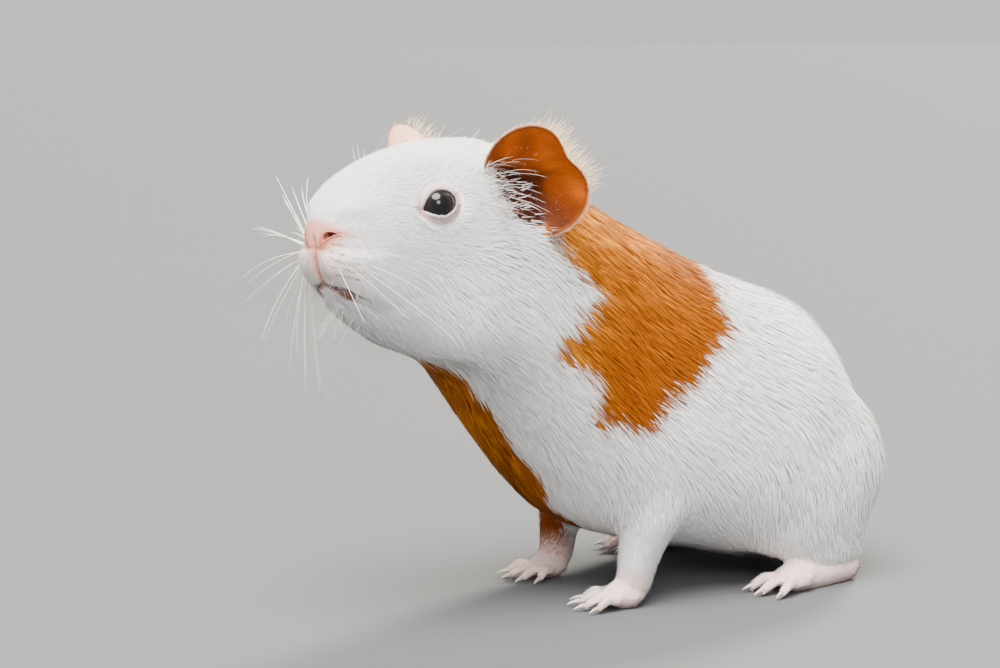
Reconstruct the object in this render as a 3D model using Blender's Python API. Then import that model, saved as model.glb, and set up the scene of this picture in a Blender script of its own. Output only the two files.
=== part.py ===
"""A life-size young guinea pig, sitting up on straight forelegs with its head raised.

It faces -Y, its left side is +X and +Z is up. The body is lofted and blended as one form, out to the tips of
the coat, and is then parted into head, neck, trunk and legs by thin cuts. Ears, eyes, feet and claws are
modelled on their own. Everything is in metres, and it stands on the floor at Z = 0.
"""

import math

import bmesh
import bpy
from mathutils import Matrix, Vector

MM = 0.001

# ---------------------------------------------------------------- driving dimensions
GAP = 0.3 * MM  # the clear cut between neighbouring pieces
HEAD_TURN = math.radians(5.0)  # the head looks a little to the animal's left
TURN_FROM = 0.0  # the turn starts here on Y ...
TURN_OVER = 40.0 * MM  # ... and is complete this much further forward
TURN_PIVOT = Vector((0.0, -7.0 * MM, 0.0))

RINGS_PER_STATION = 3
RING_POINTS = 36

EYE_RADIUS = 5.3 * MM
EYE_CENTRE = Vector((16.6, -63.4, 120.1)) * MM  # the left eye, before the head turns

EAR_RADIUS = 15.6 * MM
EAR_RIM = 1.0 * MM  # thickness at the rim
EAR_ROOT = 3.6 * MM  # thickness at the middle, where it grows from the head
EAR_CUP = 6.5 * MM  # how far the rim stands proud of the ear's middle
EAR_CENTRE = Vector((27.5, -36.4, 126.4)) * MM
EAR_FACING = {  # the right ear droops more than the left
    "left": Vector((0.766, -0.563, -0.22)).normalized(),
    "right": Vector((0.80, -0.40, -0.30)).normalized(),
}
EAR_DROP = {"left": 0.0, "right": 1.4 * MM}
EAR_NOTCH_AT = math.radians(38.0)
EAR_NOTCH_WIDTH = math.radians(34.0)
EAR_NOTCH_DEPTH = {"left": 0.28, "right": 0.08}
EAR_CROWN_AT = math.radians(118.0)
EAR_LOBE_AT = math.radians(-52.0)

FORE_ANKLE = {"left": Vector((25.0, 5.0, 11.0)) * MM, "right": Vector((-21.5, 11.0, 11.0)) * MM}
FORE_TOES_YAW = {"left": math.radians(-20.0), "right": math.radians(4.0)}
HIND_HEEL = {"left": Vector((34.0, 80.0, 6.0)) * MM, "right": Vector((-34.0, 80.0, 6.0)) * MM}
HIND_FOOT_LENGTH = 34.0 * MM

# Ring stations from the muzzle to the rump, in millimetres: the top point (y, z) and the bottom point (y, z)
# of the ring, its half width, the share of its height at which it is widest, and its squareness.
STATIONS = (
    (-93.2, 117.2, -93.0, 103.5, 7.6, 0.50, 0.86),  # front of the nose
    (-90.6, 122.2, -90.0, 97.5, 11.6, 0.46, 0.82),  # nostrils
    (-85.6, 127.2, -84.8, 91.0, 15.0, 0.43, 0.80),  # lips
    (-79.0, 131.2, -77.5, 85.0, 17.6, 0.41, 0.80),  # whisker pads
    (-71.0, 134.4, -68.5, 80.0, 20.2, 0.40, 0.80),  # bridge of the nose
    (-62.0, 136.8, -58.5, 76.0, 23.4, 0.40, 0.81),  # eyes
    (-51.0, 138.2, -49.5, 72.0, 26.4, 0.40, 0.84),  # cheeks
    (-37.5, 138.0, -42.5, 65.5, 28.4, 0.41, 0.88),  # ears
    (-20.0, 131.0, -35.5, 54.5, 29.4, 0.42, 0.94),  # nape
    (-1.0, 120.5, -27.0, 43.5, 31.2, 0.43, 0.96),  # base of the neck
    (18.0, 110.5, -15.0, 30.5, 34.4, 0.42, 0.94),  # withers
    (36.0, 101.8, 0.0, 20.0, 38.0, 0.40, 0.92),  # shoulders
    (53.0, 94.8, 22.0, 13.5, 41.0, 0.38, 0.90),  # ribs
    (69.0, 89.4, 46.0, 8.0, 43.5, 0.38, 0.88),  # belly
    (83.5, 83.8, 66.0, 2.5, 40.0, 0.36, 0.98),  # loins
    (95.5, 70.0, 83.5, 1.0, 34.0, 0.34, 1.02),  # hips
    (105.0, 52.0, 96.0, 6.0, 23.5, 0.38, 1.00),  # rump
)
NOSE_POLE = Vector((0.0, -94.3, 111.0)) * MM
RUMP_POLE = Vector((0.0, 109.5, 30.0)) * MM

COLOURS = {  # colour, roughness
    "white_coat": ((0.86, 0.85, 0.83, 1.0), 0.8),
    "ginger_coat": ((0.48, 0.19, 0.06, 1.0), 0.8),
    "ear_skin": ((0.62, 0.30, 0.16, 1.0), 0.6),
    "foot_skin": ((0.85, 0.62, 0.56, 1.0), 0.6),
    "claw_horn": ((0.80, 0.72, 0.62, 1.0), 0.4),
    "eye": ((0.01, 0.01, 0.012, 1.0), 0.05),
}


# ---------------------------------------------------------------- small helpers
def clear_scene():
    for obj in list(bpy.data.objects):
        bpy.data.objects.remove(obj, do_unlink=True)


def material(name):
    found = bpy.data.materials.get(name)
    if found:
        return found
    colour, roughness = COLOURS[name]
    made = bpy.data.materials.new(name)
    made.use_nodes = True
    shader = made.node_tree.nodes["Principled BSDF"]
    shader.inputs["Base Color"].default_value = colour
    shader.inputs["Roughness"].default_value = roughness
    shader.inputs["Metallic"].default_value = 0.0
    return made


def smoothstep(t):
    t = max(0.0, min(1.0, t))
    return t * t * (3.0 - 2.0 * t)


def turned(point):
    """Where a point of the straight head ends up once the head looks to the left."""
    share = smoothstep((TURN_FROM - point.y) / TURN_OVER)
    return TURN_PIVOT + Matrix.Rotation(HEAD_TURN * share, 3, "Z") @ (point - TURN_PIVOT)


def new_object(name, bm, slot=None):
    bmesh.ops.recalc_face_normals(bm, faces=bm.faces)
    mesh = bpy.data.meshes.new(name)
    bm.to_mesh(mesh)
    bm.free()
    obj = bpy.data.objects.new(name, mesh)
    bpy.context.scene.collection.objects.link(obj)
    mesh.shade_smooth()
    if slot:
        mesh.materials.append(material(slot))
    return obj


def guide(obj):
    """A cutter or a building form, which isn't a piece of the animal."""
    obj.hide_render = True
    obj.display_type = "WIRE"
    return obj


def evaluated_bmesh(obj):
    bpy.context.view_layer.update()
    bm = bmesh.new()
    bm.from_object(obj, bpy.context.evaluated_depsgraph_get())
    return bm


def loft(bm, rings, start=None, end=None):
    """Skins a run of closed rings, with a pole or a flat cap at each end."""
    loops = [[bm.verts.new(p) for p in ring] for ring in rings]
    count = len(loops[0])
    for near, far in zip(loops, loops[1:]):
        for i in range(count):
            j = (i + 1) % count
            bm.faces.new((near[i], near[j], far[j], far[i]))
    for ring, pole in ((loops[0], start), (loops[-1], end)):
        if pole is None:
            bm.faces.new(ring)
            continue
        tip = bm.verts.new(pole)
        for i in range(count):
            bm.faces.new((ring[i], ring[(i + 1) % count], tip))


def ellipsoid(bm, centre, radii, spin=None, segments=20):
    """An ellipsoid of three radii about a centre, turned by a rotation matrix."""
    place = Matrix.Translation(centre)
    if spin:
        place = place @ spin.to_4x4()
    place = place @ Matrix.Diagonal((*radii, 1.0))
    bmesh.ops.create_uvsphere(bm, u_segments=segments, v_segments=segments // 2, radius=1.0, matrix=place)


def limb(bm, joints, segments=14, steps=3):
    """A round limb through joints of (place, radius), with a rounded knob at each end."""
    stops = []
    for (start, first), (end, second) in zip(joints, joints[1:]):
        for step in range(steps):
            share = step / steps
            stops.append((start.lerp(end, share), first + (second - first) * smoothstep(share)))
    stops.append(joints[-1])
    rings = []
    for i, (place, radius) in enumerate(stops):
        before = stops[max(i - 1, 0)][0]
        after = stops[min(i + 1, len(stops) - 1)][0]
        along = (after - before).normalized()
        across = along.orthogonal().normalized()
        other = along.cross(across)
        ring = []
        for k in range(segments):
            angle = math.tau * k / segments
            ring.append(place + (across * math.cos(angle) + other * math.sin(angle)) * radius)
        rings.append(ring)
    loft(bm, rings)
    for place, radius in (joints[0], joints[-1]):
        ellipsoid(bm, place, (radius,) * 3, segments=segments)


def fused(name, bm, voxel, smoothing, triangles, slot=None):
    """Melts overlapping forms into one smooth skin of about this many triangles."""
    obj = new_object(name, bm, slot)
    remesh = obj.modifiers.new("Melt", "REMESH")
    remesh.mode = "VOXEL"
    remesh.voxel_size = voxel
    soften = obj.modifiers.new("Soften", "SMOOTH")
    soften.factor = 0.5
    soften.iterations = smoothing
    melted = evaluated_bmesh(obj)
    bmesh.ops.triangulate(melted, faces=melted.faces)
    thin = obj.modifiers.new("Thin", "DECIMATE")
    thin.ratio = triangles / len(melted.faces)
    melted.free()
    result = evaluated_bmesh(obj)
    obj.modifiers.clear()
    result.to_mesh(obj.data)
    result.free()
    obj.data.shade_smooth()
    return obj


def box_cutter(name, centre, size, spin=None):
    bm = bmesh.new()
    place = Matrix.Translation(centre)
    if spin:
        place = place @ spin.to_4x4()
    bmesh.ops.create_cube(bm, size=1.0, matrix=place @ Matrix.Diagonal((*size, 1.0)))
    return guide(new_object(name, bm))


def cut(obj, cutter, operation):
    """Applies a Boolean at once, so that the pieces stay plain meshes."""
    boolean = obj.modifiers.new(operation.title(), "BOOLEAN")
    boolean.operation = operation
    boolean.solver = "EXACT"
    boolean.object = cutter
    result = evaluated_bmesh(obj)
    obj.modifiers.clear()
    bmesh.ops.triangulate(result, faces=[f for f in result.faces if len(f.verts) > 4])
    result.to_mesh(obj.data)
    result.free()
    return obj


def copy_of(obj, name, slot):
    made = bpy.data.objects.new(name, obj.data.copy())
    bpy.context.scene.collection.objects.link(made)
    made.data.materials.clear()
    made.data.materials.append(material(slot))
    return made


def stand_on_origin():
    """Puts the whole animal under one empty, with the middle of its footprint at the origin."""
    bpy.context.view_layer.update()
    pieces = [obj for obj in bpy.data.objects if not obj.hide_render]
    corners = [Vector(corner) for obj in pieces for corner in obj.bound_box]
    low = [min(corner[i] for corner in corners) for i in range(3)]
    high = [max(corner[i] for corner in corners) for i in range(3)]
    root = bpy.data.objects.new("guinea_pig", None)
    bpy.context.scene.collection.objects.link(root)
    root.location = (-(low[0] + high[0]) / 2, -(low[1] + high[1]) / 2, -low[2])
    for obj in pieces:
        obj.parent = root


def swollen(obj, name, amount):
    """A copy pushed outwards all over, to cut its neighbours with a clear gap."""
    made = guide(copy_of(obj, name, "white_coat"))
    push = made.modifiers.new("Swell", "DISPLACE")
    push.strength = amount
    push.mid_level = 0.0
    result = evaluated_bmesh(made)
    made.modifiers.clear()
    result.to_mesh(made.data)
    result.free()
    return made


# ---------------------------------------------------------------- the body as one form
def blended_stations():
    """The stations with smooth ones between them, by a Catmull-Rom curve through each of their numbers."""
    rows = []
    last = len(STATIONS) - 1
    for i in range(last):
        p0, p1, p2, p3 = (STATIONS[min(max(k, 0), last)] for k in (i - 1, i, i + 1, i + 2))
        for step in range(RINGS_PER_STATION):
            t = step / RINGS_PER_STATION
            row = []
            for a, b, c, d in zip(p0, p1, p2, p3):
                bend = (2 * a - 5 * b + 4 * c - d) * t * t + (3 * b - a - 3 * c + d) * t ** 3
                row.append(0.5 * (2 * b + (c - a) * t + bend))
            rows.append(row)
    rows.append(list(STATIONS[last]))
    return rows


def body_ring(top_y, top_z, bottom_y, bottom_z, half_width, widest, square):
    """An egg-shaped ring that leans from its bottom point to its top point."""
    top = Vector((0.0, top_y, top_z)) * MM
    bottom = Vector((0.0, bottom_y, bottom_z)) * MM
    ring = []
    for k in range(RING_POINTS):
        angle = math.tau * k / RING_POINTS
        side, rise = math.cos(angle), math.sin(angle)
        share = widest
        if rise > 0:
            share += (1.0 - widest) * rise ** square
        else:
            share -= widest * (-rise) ** square
        point = bottom.lerp(top, share)
        point.x = half_width * MM * math.copysign(abs(side) ** square, side)
        ring.append(turned(point))
    return ring


def body_form():
    """Head, neck, trunk, haunches and the limbs down to the ankles, melted into one skin."""
    bm = bmesh.new()
    rings = [body_ring(*row) for row in blended_stations()]
    loft(bm, rings, start=turned(NOSE_POLE), end=RUMP_POLE)
    for side, name in ((1, "left"), (-1, "right")):
        ankle = FORE_ANKLE[name]
        shoulder = Vector((side * 23.0 * MM, ankle.y + 9.0 * MM, 54.0 * MM))
        elbow = Vector((side * 26.0 * MM, ankle.y + 7.0 * MM, 34.0 * MM))
        below = ankle - Vector((0.0, 0.0, 4.0 * MM))
        limb(bm, [(shoulder, 16.0 * MM), (elbow, 10.5 * MM), (ankle, 6.6 * MM), (below, 6.4 * MM)])
        thigh = Vector((side * 27.0, 68.0, 35.0)) * MM
        ellipsoid(bm, thigh, Vector((18.0, 32.5, 29.0)) * MM)
        shank = Vector((side * 34.0, 72.0, 14.0)) * MM
        ellipsoid(bm, shank, Vector((8.0, 16.0, 11.0)) * MM)
        cheek = turned(Vector((side * 12.0, -48.0, 93.5)) * MM)
        ellipsoid(bm, cheek, Vector((14.5, 25.0, 19.0)) * MM)
    return guide(fused("body_form", bm, voxel=1.7 * MM, smoothing=8, triangles=3150))


# ---------------------------------------------------------------- feet and claws
def foot(name, bm, triangles=196):
    """Melts a foot and trims its sole to a flat on the floor."""
    obj = fused(name, bm, voxel=0.55 * MM, smoothing=3, triangles=triangles, slot="foot_skin")
    floor = box_cutter(name + "_floor", Vector((0.0, 0.0, -50.0)) * MM, Vector((400.0, 400.0, 100.0)) * MM)
    return cut(obj, floor, "DIFFERENCE")


def toe(bm, root, yaw, length, radius):
    """One toe that runs out from its root, arches and comes down to the floor. Returns its tip."""
    ahead = Vector((math.sin(yaw), -math.cos(yaw), 0.0))
    knuckle = root + ahead * length * 0.45 + Vector((0.0, 0.0, 0.8 * MM))
    tip = root + ahead * length
    tip.z = radius * 0.86
    limb(bm, [(root, radius * 1.15), (knuckle, radius * 1.1), (tip, radius * 0.86)], segments=10, steps=2)
    return tip, ahead


def forefoot(name):
    """A small hand: heel, palm and four toes. Returns the foot and where its claws start."""
    ankle, yaw = FORE_ANKLE[name], FORE_TOES_YAW[name]
    ahead = Vector((math.sin(yaw), -math.cos(yaw), 0.0))
    across = Vector((math.cos(yaw), math.sin(yaw), 0.0))
    bm = bmesh.new()
    palm = Vector((ankle.x, ankle.y, 4.0 * MM)) + ahead * 3.5 * MM
    spin = Matrix.Rotation(yaw, 3, "Z")
    ellipsoid(bm, palm, Vector((5.9, 7.2, 4.4)) * MM, spin)
    limb(bm, [(ankle, 5.4 * MM), (palm - ahead * 2.0 * MM, 4.6 * MM)])
    claws = []
    lengths = (7.6, 9.4, 9.2, 7.0)
    for k, length in enumerate(lengths):
        spread = k - 1.5
        root = palm + ahead * 3.6 * MM + across * spread * 3.2 * MM
        root.z = 3.1 * MM
        claws.append(toe(bm, root, yaw + spread * math.radians(15.0), length * MM, 1.75 * MM))
    return foot(f"forefoot_{name}", bm), claws


def hindfoot(side, name):
    """A long flat foot: heel, sole and three toes. Returns the foot and where its claws start."""
    heel = HIND_HEEL[name]
    yaw = side * math.radians(6.0)
    ahead = Vector((math.sin(yaw), -math.cos(yaw), 0.0))
    across = Vector((math.cos(yaw), math.sin(yaw), 0.0))
    ball = heel + ahead * HIND_FOOT_LENGTH * 0.66
    bm = bmesh.new()
    heel_low = Vector((heel.x, heel.y, 4.6 * MM))
    ball_low = Vector((ball.x, ball.y, 4.0 * MM))
    limb(bm, [(heel_low, 5.2 * MM), (heel_low.lerp(ball_low, 0.5), 5.4 * MM), (ball_low, 5.0 * MM)])
    ellipsoid(bm, ball_low, Vector((6.6, 7.0, 4.2)) * MM, Matrix.Rotation(yaw, 3, "Z"))
    claws = []
    lengths = (8.6, 10.6, 8.8)
    for k, length in enumerate(lengths):
        spread = k - 1.0
        root = ball_low + ahead * 4.0 * MM + across * spread * 4.2 * MM
        root.z = 3.3 * MM
        claws.append(toe(bm, root, yaw + spread * math.radians(13.0), length * MM, 2.0 * MM))
    return foot(f"hindfoot_{name}", bm), claws


def claw(name, tip, ahead, length=4.6 * MM, radius=0.95 * MM):
    """A tapered nail that curves down to the floor, starting inside the toe's end."""
    rings = []
    steps, points = 4, 6
    across = Vector((-ahead.y, ahead.x, 0.0))
    for i in range(steps):
        share = i / steps
        place = tip + ahead * (length * share - 0.6 * MM)
        place.z = max(tip.z + 0.35 * MM - 1.1 * MM * share * share, 0.0)
        thick = radius * (1.0 - share) ** 0.75
        ring = []
        for k in range(points):
            angle = math.tau * k / points
            offset = across * math.cos(angle) * thick * 0.8 + Vector((0.0, 0.0, math.sin(angle) * thick))
            ring.append(place + offset)
        rings.append(ring)
    point = tip + ahead * (length - 0.6 * MM)
    point.z = max(tip.z - 0.85 * MM, 0.35 * MM)
    bm = bmesh.new()
    loft(bm, rings, end=point)
    return new_object(name, bm, "claw_horn")


def feet():
    """Four feet, each with its claws let into sockets at the ends of the toes."""
    made = {}
    for side, name in ((1, "left"), (-1, "right")):
        for prefix, (piece, ends) in (("fore", forefoot(name)), ("hind", hindfoot(side, name))):
            for k, (tip, ahead) in enumerate(ends, start=1):
                nail = claw(f"claw_{prefix}_{name}_{k}", tip, ahead)
                cut(piece, swollen(nail, nail.name + "_socket", GAP), "DIFFERENCE")
            made[piece.name] = piece
    return made


# ---------------------------------------------------------------- ears
def ear_outline(angle, notch_depth):
    """The ear's radius at an angle round its face: a round petal with the breed's dip in its upper back edge."""
    away = math.atan2(math.sin(angle - EAR_NOTCH_AT), math.cos(angle - EAR_NOTCH_AT))
    dip = notch_depth * math.exp(-(away / EAR_NOTCH_WIDTH) ** 2)
    crown = 0.07 * max(0.0, math.cos(angle - EAR_CROWN_AT)) ** 2
    lobe = 0.13 * max(0.0, math.cos(angle - EAR_LOBE_AT)) ** 2
    return EAR_RADIUS * (1.0 - dip + crown + lobe)


def ear(side, name, head):
    """A thin cupped petal that faces forward and outward, closed against the side of the head."""
    facing = EAR_FACING[name]
    along = Vector((0.574, 0.819, 0.0))
    along = (along - facing * along.dot(facing)).normalized()
    up = facing.cross(along)
    if up.z < 0:
        up.negate()
    spokes, circles = 26, 3
    bm = bmesh.new()

    def place(share, angle, layer):
        radius = ear_outline(angle, EAR_NOTCH_DEPTH[name]) * share
        flat = along * math.cos(angle) * radius + up * math.sin(angle) * radius
        depth = EAR_CUP * (share ** 2.2 - 1.0)
        thick = EAR_RIM + (EAR_ROOT - EAR_RIM) * (1.0 - share) ** 2
        point = EAR_CENTRE + flat + facing * (depth - thick * layer)
        point.z -= EAR_DROP[name]
        point.x *= side
        return turned(point)

    sheets = []
    for layer in (0.0, 1.0):
        centre = bm.verts.new(place(0.0, 0.0, layer))
        rows = []
        for c in range(1, circles + 1):
            rows.append([bm.verts.new(place(c / circles, math.tau * s / spokes, layer)) for s in range(spokes)])
        for s in range(spokes):
            t = (s + 1) % spokes
            bm.faces.new((centre, rows[0][s], rows[0][t]))
            for near, far in zip(rows, rows[1:]):
                bm.faces.new((near[s], far[s], far[t], near[t]))
        sheets.append(rows[-1])
    for s in range(spokes):
        t = (s + 1) % spokes
        bm.faces.new((sheets[0][s], sheets[1][s], sheets[1][t], sheets[0][t]))
    obj = new_object(f"ear_{name}", bm, "ear_skin")
    return cut(obj, head, "DIFFERENCE")


# ---------------------------------------------------------------- parting the body
def eye(side, name):
    centre = EYE_CENTRE.copy()
    centre.x *= side
    bm = bmesh.new()
    ellipsoid(bm, turned(centre), (EYE_RADIUS,) * 3, segments=16)
    return new_object(f"eye_{name}", bm, "eye")


def slab(name, from_y, to_y):
    """A box between two leaning planes, each given by where it meets the back and the throat on Y."""
    height_low, height_high, half = 20.0 * MM, 150.0 * MM, 90.0 * MM
    bm = bmesh.new()
    corners = []
    for near_top, near_bottom in (from_y, to_y):
        for x in (-half, half):
            corners.append(bm.verts.new((x, near_bottom, height_low)))
            corners.append(bm.verts.new((x, near_top, height_high)))
    a, b, c, d, e, f, g, h = corners
    for face in ((a, b, d, c), (e, f, h, g), (a, b, f, e), (c, d, h, g), (a, c, g, e), (b, d, h, f)):
        bm.faces.new(face)
    return guide(new_object(name, bm))


def leg_cutter(name, centre, size, lean, grow=0.0):
    """A rounded block round one limb."""
    bm = bmesh.new()
    bmesh.ops.create_cube(bm, size=1.0, matrix=Matrix.Diagonal((*(size + Vector((2, 2, 2)) * grow), 1.0)))
    bmesh.ops.bevel(bm, geom=bm.edges, offset=7.0 * MM, segments=2, affect="EDGES", profile=0.5)
    place = Matrix.Translation(centre) @ Matrix.Rotation(lean, 4, "X")
    bmesh.ops.transform(bm, matrix=place, verts=bm.verts)
    return guide(new_object(name, bm))


def body_pieces(body):
    """Head, neck, trunk and four legs, parted by thin cuts."""
    front_cut = (-13.0 * MM, -68.0 * MM)  # behind the ears, down to the throat
    back_cut = (24.0 * MM, -38.0 * MM)  # from the withers to the breast
    far = 400.0 * MM
    lean_gap = GAP * 1.1
    head_block = slab("head_block", (-far, -far), front_cut)
    neck_block = slab("neck_block", (front_cut[0] + lean_gap, front_cut[1] + lean_gap), back_cut)
    floor_block = box_cutter("floor_block", Vector((0.0, 0.0, -50.0)) * MM, Vector((600.0, 600.0, 100.0)) * MM)
    head = cut(copy_of(body, "head", "white_coat"), head_block, "INTERSECT")
    neck = cut(copy_of(body, "neck", "ginger_coat"), neck_block, "INTERSECT")
    trunk = copy_of(body, "trunk", "white_coat")
    front_block = slab("front_block", (-far, -far), (back_cut[0] + lean_gap, back_cut[1] + lean_gap))
    cut(trunk, front_block, "DIFFERENCE")
    cut(trunk, floor_block, "DIFFERENCE")
    legs = {}
    limbs = {}
    for side, name in ((1, "left"), (-1, "right")):
        ankle = FORE_ANKLE[name]
        fore_centre = Vector((side * 26.0 * MM, ankle.y + 1.0 * MM, 15.0 * MM))
        fore_size = Vector((40.0, 41.0, 50.0)) * MM
        limbs[f"foreleg_{name}"] = (fore_centre, fore_size, math.radians(18.0))
        hind_centre = Vector((side * 41.0, 72.0, 14.0)) * MM
        hind_size = Vector((50.0, 60.0, 84.0)) * MM
        limbs[f"hindleg_{name}"] = (hind_centre, hind_size, math.radians(14.0))
    for name, (centre, size, lean) in limbs.items():
        leg = copy_of(body, name, "ginger_coat" if name == "foreleg_right" else "white_coat")
        cut(leg, leg_cutter(name + "_block", centre, size, lean), "INTERSECT")
        cut(leg, floor_block, "DIFFERENCE")
        cut(trunk, leg_cutter(name + "_room", centre, size, lean, GAP), "DIFFERENCE")
        cut(neck, leg_cutter(name + "_neck_room", centre, size, lean, GAP), "DIFFERENCE")
        legs[name] = leg
    return head, neck, trunk, legs


def build():
    clear_scene()
    body = body_form()
    head, neck, trunk, legs = body_pieces(body)
    for side, name in ((1, "left"), (-1, "right")):
        ball = eye(side, name)
        cut(head, swollen(ball, ball.name + "_socket", GAP), "DIFFERENCE")
    bulge = swollen(body, "body_swollen", GAP)
    for side, name in ((1, "left"), (-1, "right")):
        ear(side, name, bulge)
    for piece in feet().values():
        room = swollen(piece, piece.name + "_room", GAP)
        for leg in [*legs.values(), trunk]:
            cut(leg, room, "DIFFERENCE")
    for obj in list(bpy.data.objects):
        if obj.hide_render:
            bpy.data.objects.remove(obj, do_unlink=True)
        else:
            obj.data.set_sharp_from_angle(angle=math.radians(50.0))
    stand_on_origin()


build()
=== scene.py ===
"""Skin, coat, eyes, claws and whiskers of a life-size young guinea pig, built round its solids.

The animal faces -Y, its left side is +X and +Z is up. Shapes are worked out in millimetres and written to the
meshes in metres. One skin lies inside the solids of flesh by the depth of the coat. The coat is a layer of
tapered locks, each a small closed solid, that follow the lie of the hair and end where the solids end.
"""

import math

import bmesh
import bpy
import numpy as np
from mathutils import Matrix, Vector
from mathutils.bvhtree import BVHTree
from mathutils.kdtree import KDTree


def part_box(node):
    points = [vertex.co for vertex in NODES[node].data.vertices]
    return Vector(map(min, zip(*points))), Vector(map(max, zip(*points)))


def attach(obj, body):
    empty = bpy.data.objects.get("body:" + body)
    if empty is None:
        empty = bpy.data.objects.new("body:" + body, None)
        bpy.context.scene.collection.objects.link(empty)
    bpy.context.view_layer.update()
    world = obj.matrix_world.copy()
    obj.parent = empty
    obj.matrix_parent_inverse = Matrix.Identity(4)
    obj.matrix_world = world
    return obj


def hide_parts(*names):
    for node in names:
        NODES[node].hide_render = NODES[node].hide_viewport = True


bl_info = {
    "name": "Guinea Pig Model",
    "version": (1, 0, 0),
    "blender": (4, 5, 0),
    "location": "View3D > Sidebar > Guinea Pig",
    "description": "Builds a life-size guinea pig with skin, coat, eyes and whiskers round its solids",
    "category": "Object",
}

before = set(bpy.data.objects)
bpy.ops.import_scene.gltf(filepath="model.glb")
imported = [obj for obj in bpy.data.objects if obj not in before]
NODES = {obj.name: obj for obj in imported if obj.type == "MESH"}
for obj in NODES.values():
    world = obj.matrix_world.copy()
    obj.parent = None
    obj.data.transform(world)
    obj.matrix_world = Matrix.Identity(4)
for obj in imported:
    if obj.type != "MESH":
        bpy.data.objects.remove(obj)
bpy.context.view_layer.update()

MM = 0.001
WELD = 2e-6  # corners of a solid closer than this are one, in metres
SIDES = (("left", 1.0), ("right", -1.0))
FEET = ("forefoot_left", "forefoot_right", "hindfoot_left", "hindfoot_right")
LEGS = ("foreleg_left", "foreleg_right", "hindleg_left", "hindleg_right")
EARS = ("ear_left", "ear_right")
EYES = ("eye_left", "eye_right")
FLESH = ("head", "neck", "trunk", *LEGS, *FEET, *EARS)
REGIONS = ("head", "neck", "trunk", "foreleg", "hindleg", "forefoot", "hindfoot", "ear")
HEAD, NECK, TRUNK, FORELEG, HINDLEG, FOREFOOT, HINDFOOT, EAR = range(len(REGIONS))
BAKE_MAP = "OFBake"
TUFT_PATCH = 0.003  # side of a tuft's patch on the bake map

# The head is shaped straight ahead and then turned a little to the left about an upright line.
HEAD_TURN = math.radians(5.0)
TURN_FROM = -7.62
TURN_OVER = 40.0
TURN_LINE = np.array((-0.056, -14.62))

# Landmarks of the straight head, in millimetres. Sideways values are for the left and are mirrored.
NOSE_TIP = np.array((0.0, -101.8, 111.0))
NOSTRIL = np.array((5.5, 112.9))  # across, height
MOUTH_LINE = ((0.0, 99.7), (2.6, 98.5), (5.3, 98.2), (8.3, 97.7), (10.2, 95.6))  # across, height
EYE_GAZE = np.array((0.86, -0.45, 0.20))
EYE_ALONG = np.array((0.0, -1.0, -0.20))  # towards the front corner of the lids
LID_FRONT, LID_BACK, LID_UPPER, LID_LOWER = 5.25, 4.45, 3.65, 3.4  # reach of the opening each way
LID_CENTRE = -0.4
LID_SLIDE = 0.17  # points this close to the edge of the lids move onto it
MUZZLE_FRONT = (-86.0, -90.0)  # the mouth fades in between these, from back to front
WHISKER_ROWS, WHISKERS_IN_ROW = 5, 6

# Ears: the same petal as the solids, in the straight head.
EAR_CENTRE = np.array((27.444, -44.02, 126.4))
EAR_FACING = {"left": (0.766, -0.563, -0.22), "right": (0.80, -0.40, -0.30)}
EAR_DROP = {"left": 0.0, "right": 1.4}
EAR_NOTCH = {"left": 0.28, "right": 0.08}
EAR_RADIUS, EAR_CUP = 15.6, 6.5
EAR_SPOKES, EAR_CIRCLES = 96, 26
EAR_RIM = 0.975  # where the evened rim lies, as a share of the petal's outline

# The skin: sizes in millimetres, and how much is kept where the coat hides it.
BODY_VOXELS = 2.0  # the body is melted this much more coarsely than the whole
FOOT_VOXEL = 0.42
BODY_SWELL, FOOT_SWELL = 0.25, 0.2
FOOT_COAT = 0.45
ANKLE = 6.0
HIDDEN_KEPT = 0.36
FACE_BACK = -60.0  # in front of this the head keeps all its faces
FLOOR_GAP = 0.02
EYE_GAP = 0.05  # the eyeball is this much smaller than its solid
CORNEA_FROM, CORNEA_BULGE = 0.55, 0.035  # height where the cornea starts and how far it rises, in radii

# The coat: depth over the skin, length and loose ends, in millimetres.
NECK_DEPTH, TRUNK_DEPTH, THIN_DEPTH = 1.6, 1.8, 0.35
FOOT_HAIR_FRONT, FOOT_HAIR_BACK, EAR_HAIR = 1.6, 1.8, 1.9
LOCKS_TO_MM2 = 12.0  # how many locks grow on a square millimetre where the hair is shortest
DENSITY_FALL = 0.28  # how fast that number falls with each millimetre of length
LOWEST_HAIR = 0.05
LENGTH_RANGE = (0.72, 1.22)  # shares of the length at the root
LIE_SPREAD = 0.13  # how far locks turn from the lie of the coat, in radians
LONG_TUFT, SHORT_TUFT = 8.0, 7.0  # locks in a tuft
STRAY_SHARE, STRAY_LIFT = 0.965, 0.9  # locks over this share of all stand out by this much
LOCK_WIDTH = 0.20  # half the width of a lock at its thickest, scaled by its length
LOCK_FLATNESS = 0.28  # thickness of a lock as a share of its width
LONG_ROOT, SHORT_ROOT, WISP_ROOT = 0.25, 0.2, 0.3  # how deep the roots sit in the skin
WISP_WIDTH, WISP_SPREAD = (0.045, 0.085), 0.26  # half width, and how unevenly they point
MOST_SHORT, MOST_LONG = 48000, 19000  # locks in one piece of the coat
COAT_LEAN, EAR_LEAN, WISP_LEAN = 0.88, 0.3, 0.4  # how far the shading follows the skin under the hair

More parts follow.
